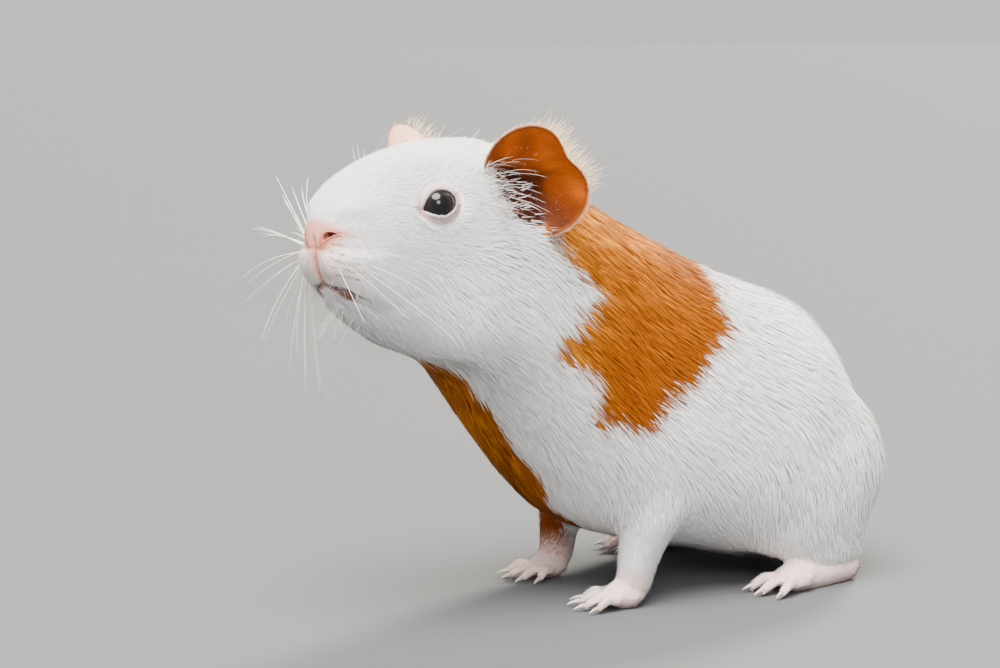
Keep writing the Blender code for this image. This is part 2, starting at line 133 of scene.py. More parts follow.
# Colours, as red, green and blue.
# painted light: the skin under the white hair is painted nearly as white as the hair, to light the shaded gaps
# between locks
SKIN_WHITE, SKIN_WHITE_SHADE = (0.92, 0.91, 0.89), (0.84, 0.82, 0.79)
SKIN_LAYERS = (  # mask, noise that mottles it, colours
    ("pink", "mottled", (0.76, 0.31, 0.21), (0.86, 0.48, 0.37)),
    ("foot", "blotchy", (0.84, 0.52, 0.45), (0.88, 0.66, 0.60)),
)
EAR_SHADE = ((0.060, 0.012, 0.002), (0.15, 0.028, 0.002))
EAR_LAYERS = (
    # painted light: the ear glows orange where light shines through it
    ("ear_glow", "blotchy", (0.42, 0.062, 0.002), (0.74, 0.155, 0.004)),
    ("ear_rim", None, (0.22, 0.055, 0.012)),
    # the paler skin of the ear's back, and painted rim light along the ear's edge
    ("ear_pale", "mottled", (0.58, 0.26, 0.11), (0.72, 0.42, 0.22)),
)
FACE_LAYERS = (
    ("lip", "mottled", (0.13, 0.042, 0.025), (0.28, 0.105, 0.068)),
    ("wet", "mottled", (0.36, 0.30, 0.28), (0.56, 0.50, 0.48)),
    ("flush", None, (0.55, 0.11, 0.07)),
    # painted shade in the nostrils, the mouth, behind the lids, along the upper lid and in the hollows by the
    # ears, with the real dark spots at the whisker roots
    ("dark", None, (0.030, 0.006, 0.005)),
)
PUPIL, EYE_WHITE = (0.0015, 0.0015, 0.002), (0.28, 0.20, 0.18)
IRIS = ((0.004, 0.0032, 0.003), (0.013, 0.010, 0.008))
HORN = ((0.55, 0.38, 0.28), (0.84, 0.74, 0.64))
WHISKER, WHISKER_TIP = ((0.78, 0.74, 0.62), (0.90, 0.88, 0.80)), (0.92, 0.90, 0.84)
SKY = (0.96, 0.98, 1.0)

# Lamps and camera, in metres and degrees.
AIM = Vector((0.0, -0.03, 0.075))
SUNS = (  # name, place, spread, colour
    ("key", (0.25, -0.35, 1.0), 45.0, (1.0, 0.99, 0.97)),
    ("rim", (-0.45, 0.80, 0.75), 14.0, (1.0, 0.93, 0.80)),
)
FILL_PLACE, FILL_SIZE = (0.8, -0.45, 0.55), 0.34
FLOOR_SIZE = 60.0
LENS, SENSOR = 85.0, 36.0
CAMERA_RIGHT, CAMERA_AWAY = (0.574, 0.819, 0.0), (-0.819, 0.574, 0.0)
CAMERA_BASE = Vector((-0.000056, -0.007621, 0.165))
CAMERA_SHIFT, CAMERA_BACK, CAMERA_PITCH = -0.0211, -0.696, 7.1


# ---------------------------------------------------------------- numbers and noise
def smooth(t):
    t = np.clip(t, 0.0, 1.0)
    return t * t * (3.0 - 2.0 * t)


def ramp(value, low, high):
    """0 below low, 1 above high and an even curve between them; it falls instead if low is above high."""
    return smooth((value - low) / (high - low))


def bell(*ways):
    """1 at a centre and less away from it; the numbers run value, centre, width, once for each way."""
    return np.exp(-sum(((value - centre) / width) ** 2 for value, centre, width in zip(*[iter(ways)] * 3)))


def mirrored(vector, side):
    """A left vector as it is on this side: 1 is left and -1 is right."""
    return vector * np.array((side, 1.0, 1.0))


def unit(vectors):
    vectors = np.asarray(vectors, float)
    return vectors / np.maximum(np.linalg.norm(vectors, axis=-1, keepdims=True), 1e-9)


def along_surface(vectors, normals):
    """The part of each vector that lies along the surface, at length 1."""
    flat = vectors - normals * (vectors * normals).sum(1, keepdims=True)
    return unit(flat)


def ripple(points, size, seed):
    """Soft repeatable unevenness, roughly -1 to 1, with waves of about this size."""
    rng = np.random.default_rng(seed)
    count, height = 14, 1.5
    waves = unit(rng.normal(size=(count, 3))) * rng.uniform(0.6, 1.5, (count, 1)) * math.pi / size
    phases = rng.uniform(0.0, math.tau, count)
    return np.sin(points @ waves.T + phases).sum(1) / math.sqrt(count * 0.5) / height


def head_turn(points, place, direction):
    """Turns points about the upright line of the neck, by an angle that grows towards the nose."""
    angle = direction * HEAD_TURN * smooth((TURN_FROM - place[:, 1]) / TURN_OVER)
    c, s = np.cos(angle), np.sin(angle)
    x, y = points[:, 0] - TURN_LINE[0], points[:, 1] - TURN_LINE[1]
    return np.column_stack((TURN_LINE[0] + c * x - s * y, TURN_LINE[1] + s * x + c * y, points[:, 2]))


def turned(points):
    """From the straight head to the head as it looks to the left."""
    points = np.atleast_2d(np.asarray(points, float))
    return head_turn(points, points, 1.0)


def straightened(points):
    """The reverse of turned, found in steps."""
    points = np.atleast_2d(np.asarray(points, float))
    result = points
    for _ in range(8):
        result = head_turn(points, result, -1.0)
    return result


def inside_distance(y, z, loop):
    """Distance to a closed outline in the side view: positive inside, negative outside."""
    corners = np.asarray(loop, float)
    nearest = np.full(len(y), 1e9)
    inside = np.zeros(len(y), bool)
    for (ay, az), (by, bz) in zip(corners, np.roll(corners, -1, axis=0)):
        ey, ez = by - ay, bz - az
        t = np.clip(((y - ay) * ey + (z - az) * ez) / (ey * ey + ez * ez), 0.0, 1.0)
        nearest = np.minimum(nearest, np.hypot(y - ay - t * ey, z - az - t * ez))
        crosses = (az > z) != (bz > z)
        if abs(ez) > 1e-9:
            inside ^= crosses & (y < ay + (z - az) / ez * ey)
    return np.where(inside, nearest, -nearest)


# ---------------------------------------------------------------- meshes
def finish_piece(obj):
    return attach(obj, "root")


def mesh_from(name, points, corners, sizes):
    """A mesh from points in millimetres, one row of corner numbers and how many corners each face has."""
    mesh = bpy.data.meshes.new(name)
    mesh.vertices.add(len(points))
    mesh.vertices.foreach_set("co", (np.asarray(points) * MM).astype(np.float32).ravel())
    mesh.loops.add(len(corners))
    mesh.loops.foreach_set("vertex_index", np.asarray(corners, np.int32))
    mesh.polygons.add(len(sizes))
    starts = np.concatenate(([0], np.cumsum(sizes)[:-1])).astype(np.int32)
    mesh.polygons.foreach_set("loop_start", starts)
    mesh.update(calc_edges=True)
    mesh.shade_smooth()
    return mesh


def mesh_of(bm, name):
    """A mesh from an edited form, which is then dropped."""
    mesh = bpy.data.meshes.new(name)
    bm.to_mesh(mesh)
    bm.free()
    return mesh


def object_from(mesh, name=None):
    obj = bpy.data.objects.new(name or mesh.name, mesh)
    bpy.context.scene.collection.objects.link(obj)
    return obj


def read(rows, field, width, kind=np.float32):
    """One field of all the rows of a mesh as an array."""
    values = np.empty(len(rows) * width, kind)
    rows.foreach_get(field, values)
    return values.reshape(-1, width)


def mesh_points(mesh):
    return read(mesh.vertices, "co", 3).astype(float) / MM


def mesh_triangles(mesh, field="vertices"):
    mesh.calc_loop_triangles()
    return read(mesh.loop_triangles, field, 3, np.int32)


def mesh_edges(mesh):
    return read(mesh.edges, "vertices", 2, np.int32)


def mesh_normals(mesh):
    return read(mesh.vertex_normals, "vector", 3).astype(float)


def set_points(mesh, points):
    mesh.vertices.foreach_set("co", (points * MM).astype(np.float32).ravel())
    mesh.update()


def relaxed(values, edges, rounds, share=0.5):
    """Each value moved towards the mean of its neighbours, some rounds over."""
    values = np.array(values, float)
    flat = values.reshape(len(values), -1)
    first, second = edges[:, 0], edges[:, 1]
    count = np.maximum(np.bincount(edges.ravel(), minlength=len(values)), 1)
    share = np.broadcast_to(np.asarray(share, float), (len(values),))
    for _ in range(rounds):
        for k in range(flat.shape[1]):
            total = np.bincount(first, weights=flat[second, k], minlength=len(values))
            total += np.bincount(second, weights=flat[first, k], minlength=len(values))
            flat[:, k] += (total / count - flat[:, k]) * share
    return flat.reshape(values.shape)


def with_modifiers(obj):
    """The mesh of an object with its modifiers applied; the object is then dropped."""
    bpy.context.view_layer.update()
    evaluated = obj.evaluated_get(bpy.context.evaluated_depsgraph_get())
    result = bpy.data.meshes.new_from_object(evaluated, preserve_all_data_layers=False)
    bpy.data.objects.remove(obj)
    return result


def melted(name, bm, voxel):
    """One watertight skin round overlapping closed forms."""
    form = object_from(mesh_of(bm, name + "_form"))
    remesh = form.modifiers.new("Melt", "REMESH")
    remesh.mode = "VOXEL"
    remesh.voxel_size = voxel * MM
    return with_modifiers(form)


def add_node(bm, name, swell, cut_below=None):
    """A welded copy of a solid, swollen a little so that it meets its neighbours."""
    part = bmesh.new()
    part.from_mesh(NODES[name].data)
    bmesh.ops.remove_doubles(part, verts=part.verts, dist=WELD)
    if cut_below is not None:
        everything = part.verts[:] + part.edges[:] + part.faces[:]
        sliced = bmesh.ops.bisect_plane(
            part, geom=everything, plane_co=(0, 0, cut_below * MM), plane_no=(0, 0, 1), clear_inner=True
        )
        rim = [e for e in sliced["geom_cut"] if isinstance(e, bmesh.types.BMEdge)]
        bmesh.ops.holes_fill(part, edges=rim)
    bmesh.ops.recalc_face_normals(part, faces=part.faces)
    part.normal_update()
    for vertex in part.verts:
        vertex.co += vertex.normal * swell * MM
    mesh = mesh_of(part, name + "_copy")
    bm.from_mesh(mesh)
    bpy.data.meshes.remove(mesh)


# ---------------------------------------------------------------- regions of the body
def region_shares(points, edges, rounds=8):
    """How much each point belongs to each region, from the nearest solid, evened out across the skin."""
    corners, faces, owner = [], [], []
    for name in FLESH:
        mesh = NODES[name].data
        base = len(corners)
        corners.extend(v.co[:] for v in mesh.vertices)
        for polygon in mesh.polygons:
            faces.append([base + i for i in polygon.vertices])
            owner.append(REGIONS.index(name.split("_")[0]))
    tree = BVHTree.FromPolygons(corners, faces)
    shares = np.zeros((len(points), len(REGIONS)))
    for i, point in enumerate(points * MM):
        shares[i, owner[tree.find_nearest(point)[2]]] = 1.0
    return relaxed(shares, edges, rounds)


def by_region(shares, *values):
    """A value for each region, blended by how much each point belongs to it."""
    level = np.ones(len(shares))
    table = np.column_stack([value * level for value in values])
    return (table * shares).sum(1) / np.maximum(shares.sum(1), 1e-6)


def coat_depth(points, shares):
    """Height of the hair tips over the skin, in millimetres."""
    straight = straightened(points)
    back = straight[:, 1] - NOSE_TIP[1]
    face = 0.45 + 0.55 * ramp(back, 2.0, 24.0) + 0.45 * ramp(back, 30.0, 62.0)
    face += 0.35 * ramp(back, 20.0, 50.0) * ramp(straight[:, 2], 114.0, 92.0)
    foreleg = 0.8 + 1.3 * ramp(points[:, 2], 14.0, 44.0)
    hindleg = 0.9 + 1.5 * ramp(points[:, 2], 8.0, 26.0)
    feet_and_ears = (THIN_DEPTH,) * 3
    return by_region(shares, face, NECK_DEPTH, TRUNK_DEPTH, foreleg, hindleg, *feet_and_ears)


# ---------------------------------------------------------------- ears and feet of the skin
def ear_outline(angle, notch):
    """Radius of the ear at an angle round its face."""
    away = np.arctan2(np.sin(angle - math.radians(38.0)), np.cos(angle - math.radians(38.0)))
    dip = notch * bell(away, 0.0, math.radians(34.0))
    crown = 0.07 * np.maximum(0.0, np.cos(angle - math.radians(118.0))) ** 2
    lobe = 0.13 * np.maximum(0.0, np.cos(angle + math.radians(52.0))) ** 2
    return EAR_RADIUS * (1.0 - dip + crown + lobe)


def ear_axes(name):
    facing = unit(np.array(EAR_FACING[name]))
    along = np.array((0.574, 0.819, 0.0))
    along = unit(along - facing * along.dot(facing))
    up = np.cross(facing, along)
    return facing, along, up if up[2] > 0 else -up


def ear_out(name, mirror):
    """The direction that one ear faces once the head has turned."""
    centre = mirrored(EAR_CENTRE, mirror)
    return unit(turned(centre + mirrored(ear_axes(name)[0], mirror))[0] - turned(centre)[0])


def ear_place(points, name, mirror):
    """Across and up from the middle of one ear's face, and height over it, for points of the head."""
    facing, along, up = ear_axes(name)
    straight = mirrored(straightened(points), mirror)
    away = straight - EAR_CENTRE + (0.0, 0.0, EAR_DROP[name])
    return away @ along, away @ up, away @ facing


def before_ear(a, b):
    """Distance across the slanting hollow in front of the ear."""
    return a + 0.35 * (b + 5.0)


def ear_hollow(points, name, mirror):
    """1 in the hollow in front of one ear, where the hair is thin and long strands cross."""
    a, b, h = ear_place(points, name, mirror)
    near = ramp(h, -15.0, -11.0) * (points[:, 0] * mirror > 0)
    return bell(before_ear(a, b), -6.0, 4.4, b, -5.0, 7.5) * near


def ear_spread(points, name, mirror):
    """How far out each point lies on one ear: 0 at its middle, 1 at its rim."""
    a, b, _ = ear_place(points, name, mirror)
    return np.hypot(a, b) / ear_outline(np.arctan2(b, a), EAR_NOTCH[name])


def under_ear(points, normals, name, mirror):
    """1 on the skin that lies under one ear and faces as the ear does."""
    height = ear_place(points, name, mirror)[2]
    facing_out = ramp(normals @ ear_out(name, mirror), 0.15, 0.45) * (points[:, 0] * mirror > 0)
    return ramp(ear_spread(points, name, mirror), 0.92, 0.72) * ramp(height, -16.0, -12.0) * facing_out


def even_rim(points, edges, on_ear, name, mirror):
    """Draws the rim of one ear onto a smooth outline."""
    a, b, _ = ear_place(points, name, mirror)
    spread, angle = ear_spread(points, name, mirror), np.arctan2(b, a)
    highest = np.zeros(len(points))
    np.maximum.at(highest, edges[:, 0], spread[edges[:, 1]])
    np.maximum.at(highest, edges[:, 1], spread[edges[:, 0]])
    chosen = on_ear & (points[:, 0] * mirror > 0)
    rim = chosen & (spread > 0.86) & (spread > highest - 0.002)
    order = np.argsort(angle[rim])
    turns, reach = angle[rim][order], spread[rim][order]
    limit = np.interp(angle, turns, reach, period=math.tau)
    change = np.clip(EAR_RIM / limit - 1.0, -0.06, 0.06) * ramp(spread / limit, 0.82, 0.98) * chosen
    _, along, up = ear_axes(name)
    shift = along * (a * change)[:, None] + up * (b * change)[:, None]
    return turned(straightened(points) + mirrored(shift, mirror))


def ear_points(name, side, share, angle, behind):
    """Points of one ear: its cupped face, or the back of it where behind is 1."""
    facing, along, up = ear_axes(name)
    radius = (ear_outline(angle, EAR_NOTCH[name]) - 0.35) * share
    depth = EAR_CUP * (share**2.2 - 1.0)
    depth += 0.7 * ramp(share, 0.86, 1.0) * (0.6 + 0.4 * np.cos(angle - math.radians(20.0)))
    # two soft folds run up from the canal, and the canal sinks towards the lower front
    fold = bell(angle - math.radians(75.0) + 0.5 * share, 0.0, 0.16) * ramp(share, 0.12, 0.4)
    fold += 0.7 * bell(angle, math.radians(20.0), 0.2) * ramp(share, 0.1, 0.3)
    depth += 0.75 * fold * ramp(share, 0.98, 0.55)
    across, rise = radius * np.cos(angle), radius * np.sin(angle)
    depth -= 2.2 * bell(across, -1.0, 4.0, rise, -5.0, 4.5)
    thick = 1.3 + 1.2 * (1.0 - share) ** 2
    thick = thick * np.sqrt(np.clip(1.0 - share**20, 0.6, 1.0))
    depth = depth - thick * behind
    points = EAR_CENTRE + along * across[:, None] + up * rise[:, None] + facing * depth[:, None]
    points[:, 2] -= EAR_DROP[name]
    points[:, 0] *= side
    return turned(points)


def ear_form(name, side):
    """One ear as a closed, thin, folded petal: two sheets of circles joined at the rim."""
    angles = math.tau * np.arange(EAR_SPOKES) / EAR_SPOKES
    angles = np.where(angles > math.pi, angles - math.tau, angles)
    rows = []
    for behind in (0.0, 1.0):
        rows.append(ear_points(name, side, np.zeros(1), np.zeros(1), behind))
        for circle in range(1, EAR_CIRCLES + 1):
            share = np.full(EAR_SPOKES, (circle / EAR_CIRCLES) ** 0.85)
            rows.append(ear_points(name, side, share, angles, behind))
    sheet = 1 + EAR_SPOKES * EAR_CIRCLES
    neighbours = [(s, (s + 1) % EAR_SPOKES) for s in range(EAR_SPOKES)]
    faces = []
    for base in (0, sheet):
        for s, t in neighbours:
            faces.append((base, base + 1 + s, base + 1 + t))
            for c in range(EAR_CIRCLES - 1):
                near, far = base + 1 + c * EAR_SPOKES, base + 1 + (c + 1) * EAR_SPOKES
                faces.append((near + s, far + s, far + t, near + t))
    rim = 1 + (EAR_CIRCLES - 1) * EAR_SPOKES
    faces += [(rim + s, sheet + rim + s, sheet + rim + t, rim + t) for s, t in neighbours]
    bm = bmesh.new()
    verts = [bm.verts.new(p) for p in np.concatenate(rows) * MM]
    for face in faces:
        bm.faces.new([verts[i] for i in face])
    bmesh.ops.recalc_face_normals(bm, faces=bm.faces)
    return mesh_of(bm, "ear_form_" + name)


def foot_form(name):
    """One foot, melted finely from its solid, drawn in by its thin coat and pressed flat on the floor."""
    bm = bmesh.new()
    add_node(bm, name, FOOT_SWELL)
    mesh = melted(name, bm, FOOT_VOXEL)
    points = relaxed(mesh_points(mesh), mesh_edges(mesh), 4)
    set_points(mesh, points)
    points -= mesh_normals(mesh) * FOOT_COAT
    flat = points[:, 2] < 0.5
    points[flat, 2] = np.minimum(points[flat, 2], FLOOR_GAP)
    points[:, 2] = np.maximum(points[:, 2], FLOOR_GAP)
    set_points(mesh, points)
    return mesh


# ---------------------------------------------------------------- the skin
def skin_base(voxel):
    """Head, neck, trunk and legs as one form, drawn in by the depth of the coat."""
    bm = bmesh.new()
    for name in ("head", "neck", "trunk", *LEGS, *EYES):
        add_node(bm, name, BODY_SWELL)
    for name in FEET:
        add_node(bm, name, BODY_SWELL, cut_below=ANKLE)
    mesh = melted("skin", bm, voxel)
    points, edges = mesh_points(mesh), mesh_edges(mesh)
    shares = region_shares(points, edges)
    limb = shares[:, FORELEG:EAR].sum(1)
    points = relaxed(points, edges, 22, 0.5 - 0.3 * np.clip(limb, 0.0, 1.0))
    set_points(mesh, points)
    normals = relaxed(mesh_normals(mesh), edges, 6)
    depth = relaxed(coat_depth(points, shares), edges, 20)
    points = points - unit(normals) * (depth + BODY_SWELL)[:, None]
    set_points(mesh, relaxed(points, edges, 4))
    return mesh


def joined(meshes, voxel):
    """The forms as one watertight skin with no inner walls, true to the surface of each form."""
    bm = bmesh.new()
    for mesh in meshes:
        bm.from_mesh(mesh)
    corners = [v.co[:] for v in bm.verts]
    bm.verts.index_update()
    tree = BVHTree.FromPolygons(corners, [[v.index for v in f.verts] for f in bm.faces])
    result = melted("skin", bm, voxel)
    points = mesh_points(result)
    reach = 0.7 * voxel * MM
    for i, point in enumerate(points * MM):
        hit = tree.find_nearest(point, reach)
        if hit[0] is not None:
            points[i] = np.array(hit[0]) / MM
    set_points(result, points)
    return result


def lightened(mesh, keep):
    """Fewer faces where keep is low; the coat hides them."""
    obj = object_from(mesh)
    group = obj.vertex_groups.new(name="hidden")
    for i in np.flatnonzero(keep < 0.5):
        group.add([int(i)], 1.0, "REPLACE")
    fewer = obj.modifiers.new("Fewer", "DECIMATE")
    fewer.vertex_group = "hidden"
    fewer.ratio = HIDDEN_KEPT
    return with_modifiers(obj)


def refined(mesh, inside, rounds):
    """Splits the faces where inside(points, round) says so."""
    bm = bmesh.new()
    bm.from_mesh(mesh)
    for k in range(rounds):
        points = np.array([v.co for v in bm.verts]) / MM
        bm.verts.ensure_lookup_table()
        chosen = inside(points, k)
        marked = [e for e in bm.edges if chosen[e.verts[0].index] and chosen[e.verts[1].index]]
        bmesh.ops.subdivide_edges(bm, edges=marked, cuts=1, use_grid_fill=True, smooth=0.0)
        bm.verts.index_update()
    bmesh.ops.triangulate(bm, faces=bm.faces)
    bm.to_mesh(mesh)
    bm.free()


def eye_frame(name):
    """Centre, radius and axes of one eye in the straight head: out, towards the front corner, and up."""
    low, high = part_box(name)
    centre = straightened(np.array((low + high) / 2) / MM)[0]
    radius = (high.z - low.z) / 2 / MM
    side = 1.0 if name.endswith("left") else -1.0
    out = unit(mirrored(EYE_GAZE, side))
    along = unit(EYE_ALONG - out * EYE_ALONG.dot(out))
    up = np.cross(along, out) * side
    return centre, radius, out, along, up if up[2] > 0 else -up


def lid_reach(angle):
    """Distance from the middle of the eye to the edge of the lids, in each direction round it."""
    turns = np.linspace(-math.pi, math.pi, 721)
    across, rise = np.cos(turns), np.sin(turns)
    long = np.where(across > 0, LID_FRONT, LID_BACK)
    high = np.where(rise > 0, LID_UPPER, LID_LOWER)
    reach = np.full(len(turns), 4.0)
    for _ in range(40):
        share = np.clip(np.abs(across) * reach / long, 0.0, 1.0)
        pointed = high * (1.0 - share ** np.where(rise > 0, 2.0, 1.75))
        rounded = high * np.sqrt(1.0 - share**2)
        limit = np.where(across > 0, pointed, rounded)
        beyond = (np.abs(rise) * reach > limit) | (np.abs(across) * reach > long)
        reach = np.where(beyond, reach * 0.96, reach * 1.012)
    reach = np.convolve(np.concatenate((reach[-9:-1], reach, reach[1:9])), np.ones(17) / 17.0, "valid")
    return np.interp(angle, turns, reach)


def lid_place(straight, name):
    """Height outwards, distance towards the front corner and up, and distance out from the edge of the lids."""
    centre, _, out, along, up = eye_frame(name)
    away = straight - centre
    height, a, b = away @ out, away @ along - LID_CENTRE, away @ up
    return height, a, b, np.hypot(a, b) - lid_reach(np.arctan2(b, a))


def shape_eyelids(straight):
    """Sinks the skin behind each eyeball and lifts a rim of lid round it."""
    for name in EYES:
        _, radius, out, along, up = eye_frame(name)
        height, a, b, edge = lid_place(straight, name)
        # points close to the edge of the lids slide onto it, so that it runs smoothly
        slide = np.where((np.abs(edge) < LID_SLIDE) & (height > 0.0), 0.002 - edge, 0.0) / np.hypot(a, b)
        straight += along * (a * slide)[:, None] + up * (b * slide)[:, None]
        height, a, b, edge = lid_place(straight, name)
        across = np.hypot(a + LID_CENTRE, b)
        near = (across < 12.0) & (height > -3.0)
        lid = np.sqrt(np.maximum((radius + 0.12 + 0.42 * ramp(edge, 0.0, 0.6)) ** 2 - across**2, 0.3))
        under = np.sqrt(np.maximum((radius - 1.1) ** 2 - across**2, 0.2))
        target = np.where(edge > 0.0, lid, np.minimum(under, lid - 1.0))
        # the rim dips into a shallow moat before the face rises again
        moat = -0.30 * bell(edge, 1.7, 0.6)
        new_height = height + (target - height) * ramp(edge, 3.0, 0.5) + moat
        new_height = np.where(near, new_height, height)
        straight += out * (new_height - height)[:, None]
    return straight


def mouth_height(across):
    return np.interp(across, *np.array(MOUTH_LINE).T)


def shape_muzzle(straight, normals):
    """Narrows the nose, swells the lips and presses in the nostrils, the groove and the mouth."""
    x, y, z = straight.T.copy()
    wide = np.abs(x)
    front = ramp(y, -86.0, -95.0)
    mouth_front = ramp(y, *MUZZLE_FRONT)
    push = np.zeros(len(straight))
    # a narrower nose above the full upper lips
    nose = ramp(z, 106.5, 110.0) * ramp(z, 121.0, 116.0) * front
    push -= 0.022 * np.minimum(wide, 8.5) ** 2 * nose
    push -= 0.5 * ramp(wide, 7.5, 10.5) * ramp(z, 116.0, 112.0) * ramp(z, 106.0, 109.0) * front
    push += 1.15 * (bell(wide, 6.0, 4.0, z, 104.0, 3.6) * front)
    # the crease that sets the nose off from the lips
    push -= 0.28 * (bell(z, 109.0 - 0.10 * wide, 0.8) * ramp(wide, 9.0, 4.0) * front)
    # the groove from nose to mouth
    push -= 0.9 * (bell(wide, 0.0, 1.0) * ramp(z, 114.0, 110.0) * ramp(z, 98.6, 100.2) * front)
    # the mouth and the lower lip
    line = mouth_height(wide)
    slit = bell(z, line, 0.55) * (ramp(wide, 11.0, 9.2) * mouth_front)
    push -= (1.2 + 1.1 * ramp(wide, 1.0, 4.0)) * slit
    push += 0.3 * bell(z - line, -2.1, 1.4, wide, 6.3, 2.5) * mouth_front
    push -= 0.7 * bell(z - line, -2.6, 2.2) * ramp(wide, 4.0, 1.0) * mouth_front
    push -= 0.45 * (bell(z - line, -5.4, 1.5) * ramp(wide, 9.5, 5.0) * ramp(y, -84.0, -89.0))
    straight = straight + normals * push[:, None]
    straight[:, 1] += 1.1 * bell(z - line, -2.4, 1.9) * ramp(wide, 2.5, 5.5) * mouth_front
    # nostrils: a comma that rises outwards
    radial = nostril_distance(wide, z)
    here = ramp(y, -92.0, -95.0)
    pit = ramp(radial, 1.15, 0.6) * here
    straight[:, 1] += 2.4 * pit
    straight[:, 0] -= np.sign(x) * 1.4 * pit
    straight[:, 2] += 0.5 * pit
    straight += normals * (0.24 * (bell(radial, 1.55, 0.4) * here))[:, None]
    return straight


def nostril_distance(wide, z):
    """1 at the edge of the comma-shaped nostril, less inside it."""
    across, rise = wide - NOSTRIL[0], z - NOSTRIL[1]
    tilt = math.radians(24.0)
    long = across * math.cos(tilt) + rise * math.sin(tilt)
    short = -across * math.sin(tilt) + rise * math.cos(tilt)
    short = short + 0.13 * long**2 - 0.1
    narrow = 0.62 - 0.10 * long
    return np.sqrt((long / 1.75) ** 2 + (short / narrow) ** 2)


def face_zone(points, k):
    """Where the face needs finer faces in round k: muzzle and eyes."""
    straight = straightened(points)
    chosen = (straight[:, 1] < (-90.0, -93.5)[k]) & (np.abs(straight[:, 0]) < 13.5)
    chosen &= (straight[:, 2] > (92.0, 94.0)[k]) & (straight[:, 2] < (117.0, 115.5)[k])
    for name in EYES:
        height, _, _, edge = lid_place(straight, name)
        chosen |= (edge < (3.2, 1.2)[k]) & (edge > -(2.5, 0.9)[k]) & (height > -3.0)
    return chosen


def build_skin_mesh(voxel):
    """The skin from its forms: melted together, lightened, evened out where they meet, then shaped finely."""
    forms = [skin_base(BODY_VOXELS * voxel)]
    forms += [ear_form(name, side) for name, side in SIDES] + [foot_form(name) for name in FEET]
    mesh = joined(forms, voxel)
    points = mesh_points(mesh)
    shares = region_shares(points, mesh_edges(mesh), 3)
    keep = shares[:, FOREFOOT:].sum(1) + shares[:, HEAD] * (straightened(points)[:, 1] < FACE_BACK)
    mesh = lightened(mesh, keep)
    refined(mesh, face_zone, 2)
    points, edges = mesh_points(mesh), mesh_edges(mesh)
    shares = region_shares(points, edges, 5)
    # even out where ears and feet join the body, and the rest of the skin very lightly
    detail = np.clip(shares[:, FOREFOOT] + shares[:, HINDFOOT] + shares[:, EAR], 0.0, 1.0)
    meeting = np.clip(4.0 * detail * (1.0 - detail), 0.0, 1.0)
    for rounds, share in ((14, 0.5 * meeting), (8, 0.5 * (1.0 - detail)), (7, 0.5 * shares[:, EAR]), (1, 0.4)):
        points = relaxed(points, edges, rounds, share)
    set_points(mesh, points)
    normals = unit(relaxed(mesh_normals(mesh), edges, 8))
    for name, mirror in SIDES:
        out = ear_out(name, mirror)
        hollow = ear_hollow(points, name, mirror) * ramp(normals @ out, -0.1, 0.5) * (1.0 - shares[:, EAR])
        points = points - out * (3.0 * hollow)[:, None]
        points = even_rim(points, edges, shares[:, EAR] > 0.7, name, mirror)
    straight = shape_eyelids(shape_muzzle(straightened(points), normals))
    in_head = (shares[:, HEAD] + shares[:, NECK] > 0.02)[:, None]
    set_points(mesh, np.where(in_head, turned(straight), points))
    return mesh


class Skin:
    """The finished skin as arrays, for the coat to grow on."""

    def __init__(self, obj, thickness):
        mesh = obj.data
        self.points = mesh_points(mesh)
        self.edges = mesh_edges(mesh)
        self.triangles = mesh_triangles(mesh)
        self.uv = read(mesh.uv_layers[BAKE_MAP].uv, "vector", 2)[mesh_triangles(mesh, "loops")]
        self.normals = unit(relaxed(mesh_normals(mesh), self.edges, 8))
        self.shares = region_shares(self.points, self.edges, 24)
        self.depth = coat_depth(self.points, self.shares)
        self.straight = straightened(self.points)
        lie = relaxed(lie_of_coat(self.points, self.normals, self.shares), self.edges, 10)
        self.lie = along_surface(lie, self.normals)
        self.bare = bareness(self)
        faces = [tuple(int(i) for i in t) for t in self.triangles]
        self.tree = BVHTree.FromPolygons([Vector(p) for p in self.points], faces)
        self.length = relaxed(hair_length(self), self.edges, 8)
        self.density = hair_density(self, self.length) * thickness
        bare = self.bare
        tint = 0.8 * bare["nose"] + 0.2 * bare["blush"] + 0.6 * bare["groove"] + 0.4 * bare["lids"]
        self.pink = np.clip(relaxed(tint, self.edges, 4), 0.0, 1.0)


BUILT = {}


# ---------------------------------------------------------------- lie, bareness and markings
LIE_OF_LIMBS = ((0.0, 0.18, -1.0), (0.0, 0.25, -1.0), (0.0, -1.0, -0.25))  # foreleg, thigh, foot


